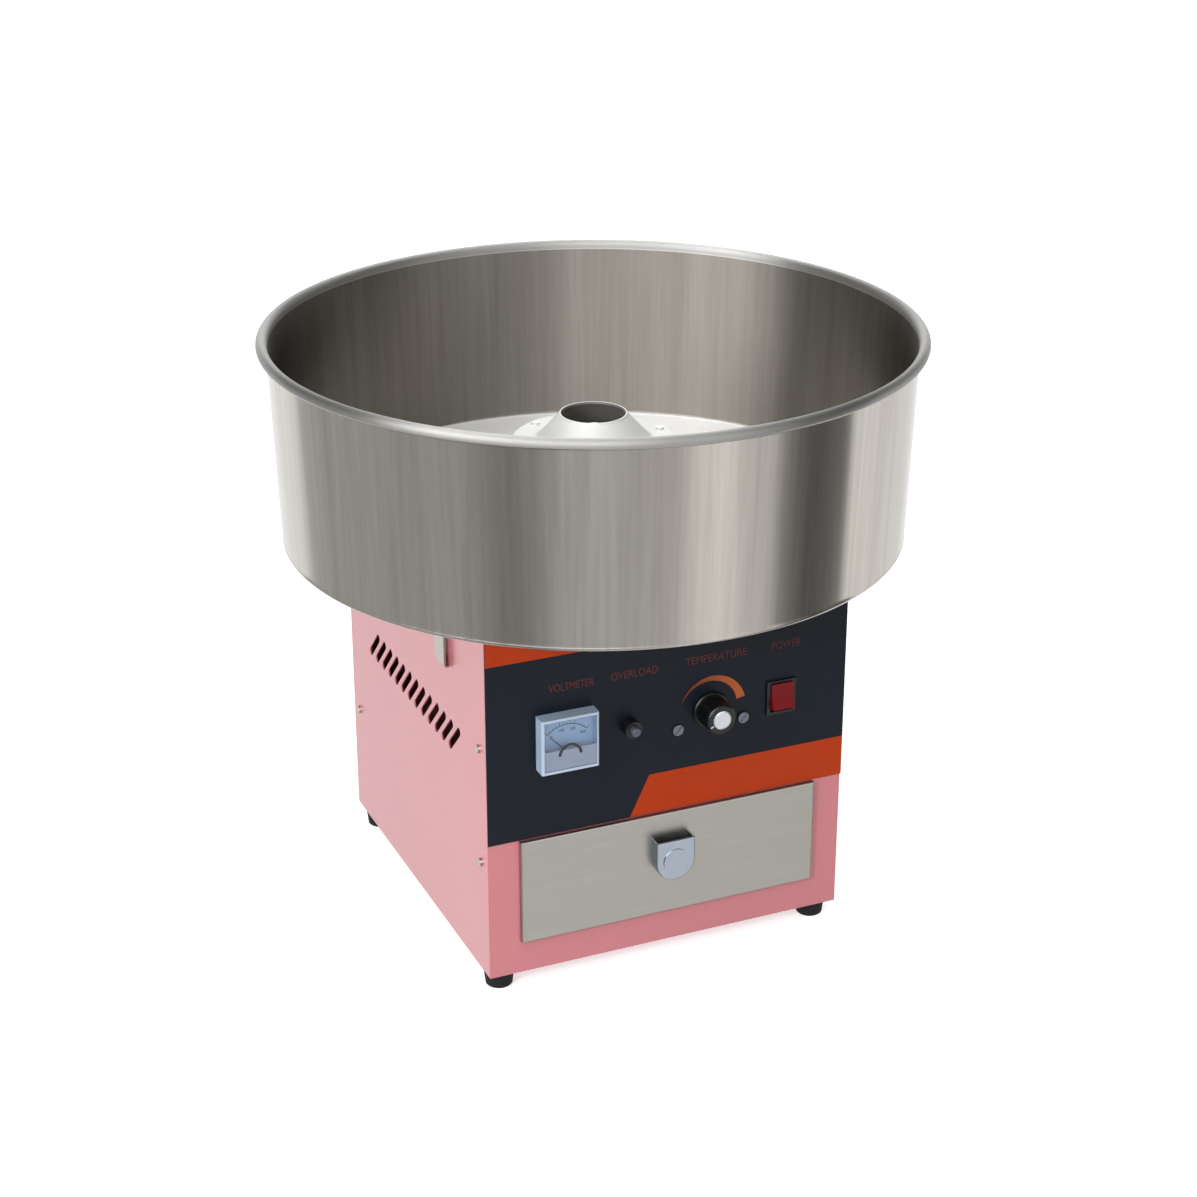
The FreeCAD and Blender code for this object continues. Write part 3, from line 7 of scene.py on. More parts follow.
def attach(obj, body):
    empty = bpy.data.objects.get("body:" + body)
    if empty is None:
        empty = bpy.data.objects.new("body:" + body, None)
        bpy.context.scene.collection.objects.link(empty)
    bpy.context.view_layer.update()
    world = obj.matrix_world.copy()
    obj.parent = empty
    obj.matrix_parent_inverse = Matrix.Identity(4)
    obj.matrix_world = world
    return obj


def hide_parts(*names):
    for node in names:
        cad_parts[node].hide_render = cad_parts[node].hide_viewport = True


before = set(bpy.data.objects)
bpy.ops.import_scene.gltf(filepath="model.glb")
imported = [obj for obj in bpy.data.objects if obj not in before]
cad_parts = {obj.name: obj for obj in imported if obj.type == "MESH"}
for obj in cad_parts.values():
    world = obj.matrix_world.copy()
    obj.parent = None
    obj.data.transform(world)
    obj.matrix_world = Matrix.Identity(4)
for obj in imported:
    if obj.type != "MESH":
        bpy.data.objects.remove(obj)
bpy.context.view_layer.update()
MM = 0.001

# ---------------------------------------------------------------------------------------------
# The studio: a white floor, a white room with grey and dark upright panels round it, three soft
# boxes and the camera. The steel mirrors the room's panels; the floor is kept out of mirrors.

CAMERA_PLACE, CAMERA_DOWN, CAMERA_RIGHT = (-0.7305, -1.6862, 1.0487), 23.41, 23.55
LENS, SENSOR_WIDTH, FAR_LIMIT = 74.27, 36, 50

camera = bpy.data.objects.new("camera", bpy.data.cameras.new("camera"))
bpy.context.scene.collection.objects.link(camera)
bpy.context.scene.camera = camera
camera.location = CAMERA_PLACE
camera.rotation_euler = (math.radians(90 - CAMERA_DOWN), 0, math.radians(-CAMERA_RIGHT))
camera.data.sensor_width = SENSOR_WIDTH
camera.data.lens = LENS
camera.data.clip_end = FAR_LIMIT
bpy.context.scene.view_settings.view_transform = "Standard"


def add(tree, kind, inputs=None, **settings):
    """Adds a shader node; an input that is given a socket is linked, and any other is set."""
    node = tree.nodes.new("ShaderNode" + kind)
    for name, value in settings.items():
        setattr(node, name, value)
    for name, value in (inputs or {}).items():
        if isinstance(value, bpy.types.NodeSocket):
            tree.links.new(value, node.inputs[name])
        else:
            node.inputs[name].default_value = value
    return node


def mixed(tree, factor, first, second, **settings):
    """Two colours mixed by a factor."""
    return add(tree, "MixRGB", {0: factor, 1: first, 2: second}, **settings).outputs[0]


def worked(tree, operation, first, second, **settings):
    """The result of a sum on two numbers."""
    return add(tree, "Math", {0: first, 1: second}, operation=operation, **settings).outputs[0]


def remapped(tree, value, from_low, from_high, to_low=0.0, to_high=1.0):
    """A number moved from one range into another, and held inside it."""
    return add(tree, "MapRange", {"Value": value, "From Min": from_low, "From Max": from_high,
                                  "To Min": to_low, "To Max": to_high}).outputs[0]


def grey(level):
    """A linear grey as red, green, blue and alpha."""
    return level, level, level, 1


# Brightness of the room's panels by compass direction in degrees, from +X towards +Y. The outside
# of the bowl mirrors the low panels, and its inside sees only the high ones.
LOW_PANELS = (
    (-180, 0.5), (-168, 0.5), (-158, 0.44), (-150, 0.36), (-141, 0.28), (-133, 0.44),
    (-122, 0.65), (-95, 0.67), (-83, 0.74), (-80, 0.94), (-72, 1.22), (-62, 1.08), (-56, 0.86),
    (-47, 0.9), (-44, 0.42), (-38, 0.27), (-31, 0.13), (-22, 0.19), (-12, 0.2), (-10, 1.2),
    (30, 1.0), (119, 1.15), (122, 0.62), (136, 0.57), (180, 0.5),
)
HIGH_PANELS = (
    (-180, 6.4), (-168, 7.2), (-156, 6.8), (-130, 5.2), (-112, 5.4), (-98, 3.6), (-86, 1.8),
    (-72, 1.7), (-45, 0.3), (-32, 0.02), (-18, 0.0), (0, 0.0), (48, 0.0), (52, 1.6), (84, 1.6),
    (90, 0.0), (154, 0.0), (166, 0.05), (169, 1.2), (174, 3.6), (178, 6.0),
)
# Where the high panels take over from the low ones, and the ceiling from the high ones, as the
# upward part of a direction. Light that isn't mirrored comes from the plain level.
HIGH_STARTS, CEILING_STARTS = (0.10, 0.22), (0.72, 0.85)
CEILING_LEVEL, PLAIN_LEVEL, BACKDROP_LEVEL = 0.35, 0.48, 1.0


def panel_ring(tree, turn, panels):
    """The brightness of a ring of panels at a share of a full turn."""
    node = add(tree, "ValToRGB", {0: turn})
    while len(node.color_ramp.elements) < len(panels):
        node.color_ramp.elements.new(0.5)
    for element, (angle, level) in zip(node.color_ramp.elements, panels):
        element.position = (angle + 180) / 360
        element.color = grey(level)
    return node.outputs[0]


room = bpy.data.worlds.new("studio_room")
bpy.context.scene.world = room
room.use_nodes = True
tree = room.node_tree
tree.nodes.clear()
direction = add(tree, "SeparateXYZ", {0: add(tree, "TexCoord").outputs["Generated"]}).outputs
turn = remapped(tree, worked(tree, "ARCTAN2", direction["Y"], direction["X"]), -math.pi, math.pi)
low_ring = panel_ring(tree, turn, LOW_PANELS)
high_ring = panel_ring(tree, turn, HIGH_PANELS)
walls = mixed(tree, remapped(tree, direction["Z"], *HIGH_STARTS), low_ring, high_ring)
mirrored_room = mixed(tree, remapped(tree, direction["Z"], *CEILING_STARTS), walls,
                      grey(CEILING_LEVEL))
ray = add(tree, "LightPath").outputs
room_light = mixed(tree, ray["Is Glossy Ray"], grey(PLAIN_LEVEL), mirrored_room)
seen = worked(tree, "MAXIMUM", ray["Is Camera Ray"], ray["Is Transmission Ray"])
backdrop = mixed(tree, seen, room_light, grey(BACKDROP_LEVEL))
surface = add(tree, "Background", {"Color": backdrop, "Strength": 1.0})
tree.links.new(surface.outputs[0], add(tree, "OutputWorld").inputs[0])

FLOOR_REACH, FLOOR_WHITE, FLOOR_LIFT = 9, 0.86, 0.62

floor_mesh = bpy.data.meshes.new("studio_floor")
floor_mesh.from_pydata([(-FLOOR_REACH, -FLOOR_REACH, 0), (FLOOR_REACH, -FLOOR_REACH, 0),
                        (FLOOR_REACH, FLOOR_REACH, 0), (-FLOOR_REACH, FLOOR_REACH, 0)],
                       [], [(0, 1, 2, 3)])
floor = bpy.data.objects.new("studio_floor", floor_mesh)
bpy.context.scene.collection.objects.link(floor)
floor.visible_glossy = False
floor_paint = bpy.data.materials.new("white_floor_paint")
floor_paint.use_nodes = True
tree = floor_paint.node_tree
tree.nodes.clear()
matt = add(tree, "BsdfDiffuse", {"Color": grey(FLOOR_WHITE)})
is_camera = add(tree, "LightPath").outputs["Is Camera Ray"]
glow = add(tree, "Emission", {"Strength": worked(tree, "MULTIPLY", is_camera, FLOOR_LIFT)})
both = add(tree, "AddShader", {0: matt.outputs[0], 1: glow.outputs[0]})
tree.links.new(both.outputs[0], add(tree, "OutputMaterial").inputs[0])
floor_mesh.materials.append(floor_paint)

# Each soft box: name, place, height of the point it faces, width, watts, and seen in mirrors.
SOFT_BOXES = (
    ("left_soft_box", (-2.25, -1.6, 1.38), 0.3, 0.4, 45, False),
    ("top_soft_box", (-0.5, -0.9, 2.4), 0.3, 1.4, 28, False),
    ("rear_soft_box", (0.5, 1.1, 2.0), 0.33, 1.1, 12, True),
)
for name, place, aim, width, power, mirrored in SOFT_BOXES:
    lamp = bpy.data.lights.new(name, "AREA")
    lamp.size = width
    lamp.energy = power
    holder = bpy.data.objects.new(name, lamp)
    bpy.context.scene.collection.objects.link(holder)
    holder.location = place
    view = Vector((0, 0, aim)) - Vector(place)
    holder.rotation_euler = view.to_track_quat("-Z", "Y").to_euler()
    holder.visible_glossy = mirrored

# ---------------------------------------------------------------------------------------------
# Cabinet shell: cold rolled steel sheet, bent, spot welded and powder coated pink. The coat is
# even, with the fine orange peel that powder leaves as it melts, and a soft satin gloss.

# Noise seldom leaves this range.
NOISE_SPAN = (0.3, 0.7)


def hexed(colour):
    """An sRGB hex colour as linear red, green, blue and alpha."""
    parts = [int(colour[i:i + 2], 16) / 255 for i in (1, 3, 5)]
    linear = [c / 12.92 if c <= 0.04045 else ((c + 0.055) / 1.055) ** 2.4 for c in parts]
    return (*linear, 1)


def named(name):
    """The material of that name."""
    return bpy.data.materials[name]


def new_material(name, **shader_values):
    """A material with one principled shader; returns its tree and its shader."""
    made = bpy.data.materials.new(name)
    made.use_nodes = True
    shader = made.node_tree.nodes["Principled BSDF"]
    for key, value in shader_values.items():
        shader.inputs[key.replace("_", " ")].default_value = value
    return made.node_tree, shader


def noise(tree, size, stretch=(1, 1, 1), detail=3.0):
    """Noise with features of about one size in millimetres, stretched along the axes."""
    place = add(tree, "TexCoord").outputs["Object"]
    scale = [1 / (size * MM * s) for s in stretch]
    vector = add(tree, "Mapping", {"Vector": place, "Scale": scale}).outputs[0]
    return add(tree, "TexNoise", {"Vector": vector, "Scale": 1.0, "Detail": detail}).outputs["Fac"]


def vary(tree, factor, shader, socket, low, high):
    """Drives one shader value between two limits with a pattern."""
    reach = remapped(tree, factor, *NOISE_SPAN, low, high)
    tree.links.new(reach, shader.inputs[socket])


def tint(tree, factor, shader, first, second):
    """Mixes two hex colours into the base colour with a pattern."""
    mix = mixed(tree, factor, hexed(first), hexed(second))
    tree.links.new(mix, shader.inputs["Base Color"])


def emboss(tree, height, shader, depth, strength):
    """Bump of a real depth in millimetres."""
    bump = add(tree, "Bump", {"Height": height, "Distance": depth * MM, "Strength": strength})
    tree.links.new(bump.outputs[0], shader.inputs["Normal"])


def dress(material, *nodes):
    """Gives CAD nodes a material."""
    for name in nodes:
        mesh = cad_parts[name].data
        mesh.materials.clear()
        mesh.materials.append(material)


def powder_coat(name, first, second, roughness):
    """Polyester powder coat: an even colour under a fine orange peel of about 1.4 mm."""
    tree, shader = new_material(name, Roughness=roughness, IOR=1.5, Coat_Weight=0.7,
                                Coat_Roughness=0.22, Coat_IOR=1.6)
    tint(tree, noise(tree, 60, detail=2.0), shader, first, second)
    peel = noise(tree, 1.4)
    vary(tree, peel, shader, "Roughness", roughness - 0.04, roughness + 0.05)
    emboss(tree, peel, shader, 0.02, 0.6)
    return named(name)


dress(powder_coat("pink_powder_coat", "#C57178", "#C06B72", 0.36), "base_pan", "front_panel",
      "rear_panel", "left_side_panel", "right_side_panel", "deck_plate", "divider_shelf")

# ---------------------------------------------------------------------------------------------
# Feet and screws: moulded black rubber feet, dull, with grey dust in their pores, and sheet metal
# screws with turned heads in bright zinc plate, a little yellow and blue.


def rubber(name, first, second):
    """Moulded rubber: a dull black that goes slightly grey over a few millimetres."""
    tree, shader = new_material(name, Roughness=0.8, IOR=1.4)
    tint(tree, noise(tree, 4), shader, first, second)
    emboss(tree, noise(tree, 0.8), shader, 0.05, 0.5)
    return named(name)


def plated(name, first, second, roughness, size=6):
    """Plated metal whose tone drifts over a few millimetres."""
    tree, shader = new_material(name, Metallic=1.0, Roughness=roughness)
    tint(tree, noise(tree, size), shader, first, second)
    vary(tree, noise(tree, 1.2), shader, "Roughness", roughness - 0.08, roughness + 0.1)
    return named(name)


dress(rubber("black_rubber", "#0D0D0E", "#1C1C1D"), "rubber_feet", "rubber_motor_mounts")
dress(plated("bright_zinc_plate", "#B9BCC0", "#C9C4B4", 0.32), "side_panel_screws", "foot_screws",
      "motor_mount_studs", "bowl_clip_rivets")
dress(plated("dull_zinc_plate", "#6E737E", "#7A7E88", 0.38), "regulator_screws")

# ---------------------------------------------------------------------------------------------
# Control fascia: a thin sheet with a screen printed polyester overlay, blue black with orange
# shapes. The ink is printed in flat layers, so each shape is a film a tenth of a millimetre thick.

# Sizes and places on the fascia in millimetres: x to the right, z up, y the face itself.
FASCIA_FACE, INK = -148.5, 0.1
FASCIA_EDGE, SLANT_NEAR, SLANT_FAR = 151.3, 17.5, 33.8
FASCIA_LOW, STRIPE_TOP, BAND_LOW, FASCIA_TOP = 133.2, 167, 282, 315.8
KNOB_CENTRE = 34.0, 213.0
CRESCENT_RADIUS, CRESCENT_TIP, CRESCENT_GROWTH = 26.3, 1.0, 3.1
CRESCENT_START, CRESCENT_STOP, CRESCENT_STEPS = 158, 12, 40
CRESCENT_DARK_X, CRESCENT_BRIGHT_X = 8.0, 54.0
# Each word: its text, its left and right ends and the height of its middle.
WORDS = (("VOLTMETER", -101, -64, 255.5), ("OVERLOAD", -50, -11, 256),
         ("TEMPERATURE", 12, 64, 257), ("POWER", 86, 111, 257))
WORD_HEIGHT = 6.4


def link_piece(name, mesh, material, body):
    """Puts a finished mesh into the scene on the body that carries it."""
    piece = bpy.data.objects.new(name, mesh)
    bpy.context.scene.collection.objects.link(piece)
    mesh.materials.append(material)
    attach(piece, body)
    return piece


def prism(name, outline, near, far, material, body="cabinet"):
    """A flat piece that faces -Y: an outline of (x, z) in millimetres between two values of y."""
    mesh = bpy.data.meshes.new(name)
    build = bmesh.new()
    front = [build.verts.new((x * MM, near * MM, z * MM)) for x, z in outline]
    rear = [build.verts.new((x * MM, far * MM, z * MM)) for x, z in outline]
    build.faces.new(front)
    build.faces.new(rear[::-1])
    for i in range(len(outline)):
        j = (i + 1) % len(outline)
        build.faces.new((front[i], rear[i], rear[j], front[j]))
    bmesh.ops.recalc_face_normals(build, faces=build.faces)
    build.to_mesh(mesh)
    build.free()
    return link_piece(name, mesh, material, body)


def printed(name, outline, face, ink, body="cabinet"):
    """An outline printed as a film of ink on a face that looks along -Y."""
    return prism(name, outline, face - INK, face, ink, body)


def printed_word(name, word, x, z, width, height, face, ink):
    """A word printed on the cabinet, on a face that looks along -Y, fitted to a size."""
    text = bpy.data.curves.new(name, "FONT")
    text.body = word
    text.align_x = text.align_y = "CENTER"
    text.extrude = INK * MM / 2
    draft = bpy.data.objects.new(name, text)
    bpy.context.scene.collection.objects.link(draft)
    bpy.context.view_layer.update()
    graph = bpy.context.evaluated_depsgraph_get()
    mesh = bpy.data.meshes.new_from_object(draft.evaluated_get(graph))
    bpy.data.objects.remove(draft)
    xs = [v.co.x for v in mesh.vertices]
    ys = [v.co.y for v in mesh.vertices]
    centre = Vector(((min(xs) + max(xs)) / 2, (min(ys) + max(ys)) / 2, 0))
    stretch = width * MM / (max(xs) - min(xs)), height * MM / (max(ys) - min(ys)), 1, 1
    upright = Matrix.Rotation(math.radians(90), 4, "X")
    place = Matrix.Translation((x * MM, (face - INK / 2) * MM, z * MM))
    mesh.transform(place @ upright @ Matrix.Diagonal(stretch) @ Matrix.Translation(-centre))
    return link_piece(name, mesh, ink, "cabinet")


def arc(centre, radius, start, stop, steps, growth=0.0):
    """Points of an arc between two angles in degrees; its radius may grow on the way."""
    points = []
    for i in range(steps + 1):
        share = i / steps
        angle = math.radians(start + (stop - start) * share)
        reach = radius + growth * share
        points.append((centre[0] + reach * math.cos(angle), centre[1] + reach * math.sin(angle)))
    return points


def arc_band(centre, radius, width, start, stop, steps=24, growth=0.0):
    """The outline of a curved band, which may grow by twice the growth on the way."""
    outer = arc(centre, radius + width / 2, start, stop, steps, growth)
    inner = arc(centre, radius - width / 2, start, stop, steps, -growth)
    return outer + inner[::-1]


def bare_ink(name):
    """Screen ink with the faint weave of the mesh it was pressed through, without its colour."""
    tree, shader = new_material(name, Roughness=0.5, IOR=1.48, Specular_IOR_Level=0.2)
    emboss(tree, noise(tree, 0.5), shader, 0.01, 0.4)
    return tree, shader


def screen_ink(name, first, second):
    """Screen ink in one flat opaque colour."""
    tree, shader = bare_ink(name)
    tint(tree, noise(tree, 25), shader, first, second)
    return named(name)


tree, shader = new_material("overlay_polyester", Roughness=0.5, IOR=1.5, Specular_IOR_Level=0.22)
tint(tree, noise(tree, 90, detail=1.0), shader, "#060D19", "#09111D")
grain = noise(tree, 0.6)
vary(tree, grain, shader, "Roughness", 0.38, 0.48)
emboss(tree, grain, shader, 0.01, 0.5)
dress(named("overlay_polyester"), "control_fascia")

orange_ink = screen_ink("orange_screen_ink", "#B23600", "#A93300")
stripe = [(-SLANT_FAR, FASCIA_LOW), (FASCIA_EDGE, FASCIA_LOW), (FASCIA_EDGE, STRIPE_TOP),
          (-SLANT_NEAR, STRIPE_TOP)]
printed("orange_stripe", stripe, FASCIA_FACE, orange_ink)
band = [(-FASCIA_EDGE, BAND_LOW), (SLANT_NEAR, BAND_LOW), (SLANT_FAR, FASCIA_TOP),
        (-FASCIA_EDGE, FASCIA_TOP)]
printed("orange_band", band, FASCIA_FACE, orange_ink)

# A crescent over the knob grows from low heat at the left to high heat at the right.
crescent = arc_band(KNOB_CENTRE, CRESCENT_RADIUS, CRESCENT_TIP, CRESCENT_START, CRESCENT_STOP,
                    CRESCENT_STEPS, CRESCENT_GROWTH)
tree, shader = bare_ink("crescent_screen_ink")
along = add(tree, "SeparateXYZ", {0: add(tree, "TexCoord").outputs["Object"]}).outputs["X"]
heat = remapped(tree, along, CRESCENT_DARK_X * MM, CRESCENT_BRIGHT_X * MM)
tint(tree, heat, shader, "#4E2722", "#B05A2C")
printed("heat_crescent", crescent, FASCIA_FACE, named("crescent_screen_ink"))

dim_ink = screen_ink("dim_red_screen_ink", "#5F2C2E", "#562728")
for word, left, right, level in WORDS:
    printed_word("word_" + word.lower(), word, (left + right) / 2, level, right - left,
                 WORD_HEIGHT, FASCIA_FACE, dim_ink)

# ---------------------------------------------------------------------------------------------
# Voltmeter: a square panel meter in blue tinted styrene with a clear acrylic window, a pale blue
# enamelled dial, a pale mask over the movement, a black needle and a printed scale of 0 to 300. A
# black arch on the mask is painted shadow, for the gap round the mask's boss.

PANE_LEFT, PANE_RIGHT, PANE_LOW, PANE_TOP = -109.2, -66.8, 192.8, 233.2
PANE_FRONT, PANE_BACK, PANE_EDGE = -160.5, -159.4, 0.3
PIVOT = -88.0, 204.0
DIAL_FACE, MASK_FACE = -152.5, -159.1
SCALE_RADIUS, SCALE_LINE, SCALE_START, SCALE_STOP = 22.5, 0.5, 135, 45
TICKS, TICKS_TO_A_NUMBER, LONG_TICK, SHORT_TICK, TICK_WIDTH = 12, 4, 2.6, 1.5, 0.44
NUMBERS, NUMBER_RADIUS, NUMBER_START, NUMBER_STOP = ("0", "100", "200", "300"), 18.6, 133, 47
DIGIT_WIDTH, DIGIT_HEIGHT = 1.5, 2.4
SHADOW_ARCH_RADIUS, SHADOW_ARCH_WIDTH, SHADOW_ARCH_DEPTH = 8.6, 2.2, 0.4


def styrene(name, first, second):
    """Polished moulded styrene: a smooth glossy plastic."""
    tree, shader = new_material(name, Roughness=0.12, IOR=1.59)
    tint(tree, noise(tree, 18, detail=1.0), shader, first, second)
    emboss(tree, noise(tree, 5, detail=1.0), shader, 0.02, 0.3)
    return named(name)


def enamel(name, first, second, roughness=0.45):
    """Baked enamel on thin sheet: an even satin colour."""
    tree, shader = new_material(name, Roughness=roughness, IOR=1.5)
    tint(tree, noise(tree, 22, detail=1.0), shader, first, second)
    emboss(tree, noise(tree, 0.7), shader, 0.01, 0.4)
    return named(name)


def rectangle(left, right, low, top):
    """The outline of an upright rectangle."""
    return [(left, low), (right, low), (right, top), (left, top)]


def spoke(centre, angle, near, far, width):
    """The outline of a bar that points away from a centre, at an angle in degrees."""
    cos, sin = math.cos(math.radians(angle)), math.sin(math.radians(angle))
    return [(centre[0] + x * cos - z * sin, centre[1] + x * sin + z * cos)
            for x, z in rectangle(near, far, -width / 2, width / 2)]


dress(styrene("blue_tinted_styrene", "#A6B9CF", "#B1C2D5"), "voltmeter_case")
tree, shader = new_material("clear_window_acrylic", Roughness=0.03, IOR=1.49,
                            Transmission_Weight=1.0)
tint(tree, noise(tree, 30, detail=1.0), shader, "#DCE9F6", "#E6F0FA")
window = prism("meter_window_pane", rectangle(PANE_LEFT, PANE_RIGHT, PANE_LOW, PANE_TOP),
               PANE_FRONT, PANE_BACK, named("clear_window_acrylic"))
edge = window.modifiers.new("polished_edge", "BEVEL")
edge.width = PANE_EDGE * MM
edge.segments = 2
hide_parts("voltmeter_glass")

dress(enamel("pale_blue_dial_enamel", "#BBD3EF", "#C6DBF2"), "voltmeter_dial")
dress(enamel("white_mask_enamel", "#C7C2CC", "#D0CCD4"), "voltmeter_mask")
dress(enamel("black_pointer_enamel", "#15161A", "#1D1E22"), "voltmeter_needle")
# This black ink prints the scale, and it also serves as the painted shadow arch on the mask.
black_print_and_shadow = screen_ink("black_scale_and_shadow_ink", "#1B1E26", "#232731")

printed("scale_arc", arc_band(PIVOT, SCALE_RADIUS, SCALE_LINE, SCALE_START, SCALE_STOP), DIAL_FACE,
        black_print_and_shadow)
for i in range(TICKS + 1):
    angle = SCALE_START + (SCALE_STOP - SCALE_START) * i / TICKS
    length = SHORT_TICK if i % TICKS_TO_A_NUMBER else LONG_TICK
    tick = spoke(PIVOT, angle, SCALE_RADIUS, SCALE_RADIUS + length, TICK_WIDTH)
    printed("scale_tick_%02d" % i, tick, DIAL_FACE, black_print_and_shadow)
number_places = arc(PIVOT, NUMBER_RADIUS, NUMBER_START, NUMBER_STOP, len(NUMBERS) - 1)
for number, (x, z) in zip(NUMBERS, number_places):
    printed_word("scale_number_" + number, number, x, z, DIGIT_WIDTH * len(number), DIGIT_HEIGHT,
                 DIAL_FACE, black_print_and_shadow)
# Painted shadow: a black arch laid on the mask where the gap round its half-round boss falls into
# shade.
prism("painted_shadow_arch", arc_band(PIVOT, SHADOW_ARCH_RADIUS, SHADOW_ARCH_WIDTH, 180, 0), MASK_FACE - SHADOW_ARCH_DEPTH,
      MASK_FACE, black_print_and_shadow)

# ---------------------------------------------------------------------------------------------
# Overload breaker, regulator knob and rocker switch: moulded in black nylon and ABS with a fine
# spark eroded grain. The knob has a turned aluminium cap, and the rocker is red polycarbonate.

# The knob's white mark points down and left at rest, at its angle from +X.
KNOB_FACE, MARK_ANGLE, MARK_NEAR, MARK_FAR, MARK_WIDTH = -169.5, 208, 8.4, 11, 1.2


def moulded(name, first, second, roughness, grain=0.7):
    """Moulded plastic with the grain of a spark eroded tool."""
    tree, shader = new_material(name, Roughness=roughness, IOR=1.5)
    tint(tree, noise(tree, 12), shader, first, second)
    pores = noise(tree, grain)
    vary(tree, pores, shader, "Roughness", roughness - 0.06, roughness + 0.08)
    emboss(tree, pores, shader, 0.03, 0.5)
    return named(name)


dress(moulded("black_nylon", "#06080D", "#0B0D12", 0.42), "overload_breaker", "heat_regulator",
      "switch_housing", "cable_gland", "gland_nut")
dress(moulded("grey_button_nylon", "#4B4D57", "#555761", 0.4), "overload_reset_button")
dress(moulded("black_knob_abs", "#040609", "#090B0E", 0.33), "regulator_knob")

tree, shader = new_material("red_rocker_polycarbonate", Roughness=0.34, IOR=1.5,
                            Specular_IOR_Level=0.2, Subsurface_Weight=0.12)
shader.inputs["Subsurface Radius"].default_value = (4 * MM, 0.6 * MM, 0.4 * MM)
tint(tree, noise(tree, 9, detail=1.0), shader, "#78040D", "#6F030C")
emboss(tree, noise(tree, 1.5), shader, 0.01, 0.3)
dress(named("red_rocker_polycarbonate"), "switch_rocker")

tree, shader = new_material("turned_aluminium_cap", Metallic=1.0, Roughness=0.3)
tint(tree, noise(tree, 8), shader, "#D9DBDF", "#CDD1D8")
emboss(tree, noise(tree, 0.8, (1, 1, 8)), shader, 0.02, 0.3)
dress(named("turned_aluminium_cap"), "regulator_knob_cap")

white_mark = screen_ink("white_pointer_ink", "#D8D8D6", "#CFCFCD")
mark = spoke(KNOB_CENTRE, MARK_ANGLE, MARK_NEAR, MARK_FAR, MARK_WIDTH)
printed("knob_pointer", mark, KNOB_FACE, white_mark, "knob")

# ---------------------------------------------------------------------------------------------
# Drawer: its front is stainless sheet brushed from side to side, the box behind it is plain
# rolled stainless, and the cup pull is pressed steel with bright chrome plate.


def brushed(name, first, second, roughness, line, stretch, strength=0.35):
    """Brushed steel: long fine scratches, drawn a little coarser than real ones to show."""
    tree, shader = new_material(name, Metallic=1.0, Roughness=roughness)
    tint(tree, noise(tree, line * 3, stretch), shader, first, second)
    scratches = noise(tree, line, stretch, 4.0)
    vary(tree, scratches, shader, "Roughness", roughness - 0.07, roughness + 0.08)
    emboss(tree, scratches, shader, 0.01, strength)
    return named(name)


dress(brushed("brushed_drawer_steel", "#ADA9A3", "#B5B1AB", 0.38, 0.7, (60, 1, 1), 0.12),
      "drawer_front")
dress(brushed("rolled_drawer_steel", "#AFADA8", "#BDBBB6", 0.34, 1.2, (1, 60, 1)), "drawer_box")
dress(plated("dull_zinc_runner", "#A5A7AA", "#B3AF9F", 0.42, 25), "left_drawer_runner",
      "right_drawer_runner", "motor_plate")

tree, shader = new_material("bright_chrome_plate", Metallic=1.0, Roughness=0.12)
tint(tree, noise(tree, 15), shader, "#9CA4B0", "#A6ADB8")
vary(tree, noise(tree, 2), shader, "Roughness", 0.08, 0.18)
dress(named("bright_chrome_plate"), "drawer_pull")

# ---------------------------------------------------------------------------------------------
# Motor: a rolled shell in dark enamel between two die cast aluminium bells, hung under a plate
# on rubber mounts. Core and rotor are stacked laminations, and the shaft is ground steel.


def die_cast(name, first, second, roughness=0.45):
    """Die cast metal: a soft grey with a faintly mottled skin."""
    tree, shader = new_material(name, Metallic=1.0, Roughness=roughness)
    skin = noise(tree, 3)
    tint(tree, skin, shader, first, second)
    vary(tree, skin, shader, "Roughness", roughness - 0.08, roughness + 0.08)
    emboss(tree, noise(tree, 1.1), shader, 0.04, 0.4)
    return named(name)


dress(enamel("dark_motor_enamel", "#23282C", "#2A3034", 0.4), "motor_shell")
dress(die_cast("die_cast_bell_aluminium", "#9C9D9F", "#B0B1B2"), "motor_upper_bell",
      "motor_lower_bell", "bowl_seat_ring")
dress(brushed("laminated_core_steel", "#54565A", "#6B6D70", 0.5, 0.6, (60, 60, 1)),
      "motor_stator", "motor_rotor")
dress(brushed("ground_shaft_steel", "#9FA1A3", "#B4B6B8", 0.22, 0.5, (40, 40, 1)), "motor_shaft",
      "motor_bearings", "regulator_spindle")
dress(moulded("dark_fan_nylon", "#1C1E20", "#26282B", 0.5, 1.0), "cooling_fan")

# ---------------------------------------------------------------------------------------------
# Slip rings, brushes and fittings: turned brass rings on a brown phenolic carrier, pressed carbon
# brushes on leaf springs, a moulded capacitor can and a terminal block in pale nylon.

dress(moulded("brown_phenolic", "#3B1E12", "#4A2817", 0.4), "slip_ring_carrier", "brush_holder")
tree, shader = new_material("turned_brass", Metallic=1.0, Roughness=0.25)
tint(tree, noise(tree, 4), shader, "#C9A35A", "#B98F49")
emboss(tree, noise(tree, 0.5, (30, 30, 1)), shader, 0.02, 0.4)
dress(named("turned_brass"), "slip_rings")
dress(moulded("pressed_carbon", "#17171A", "#232326", 0.55, 0.4), "carbon_brushes")
dress(brushed("rolled_spring_steel", "#B2AFA8", "#C2BFB8", 0.28, 0.6, (1, 1, 40)),
      "brush_leaf_spring", "left_bowl_clip", "right_bowl_clip")
dress(moulded("pale_capacitor_can", "#C8C6BF", "#D3D1CA", 0.35, 1.5), "run_capacitor")
dress(moulded("ivory_terminal_nylon", "#D2CDB9", "#DDD9C8", 0.45), "terminal_block")
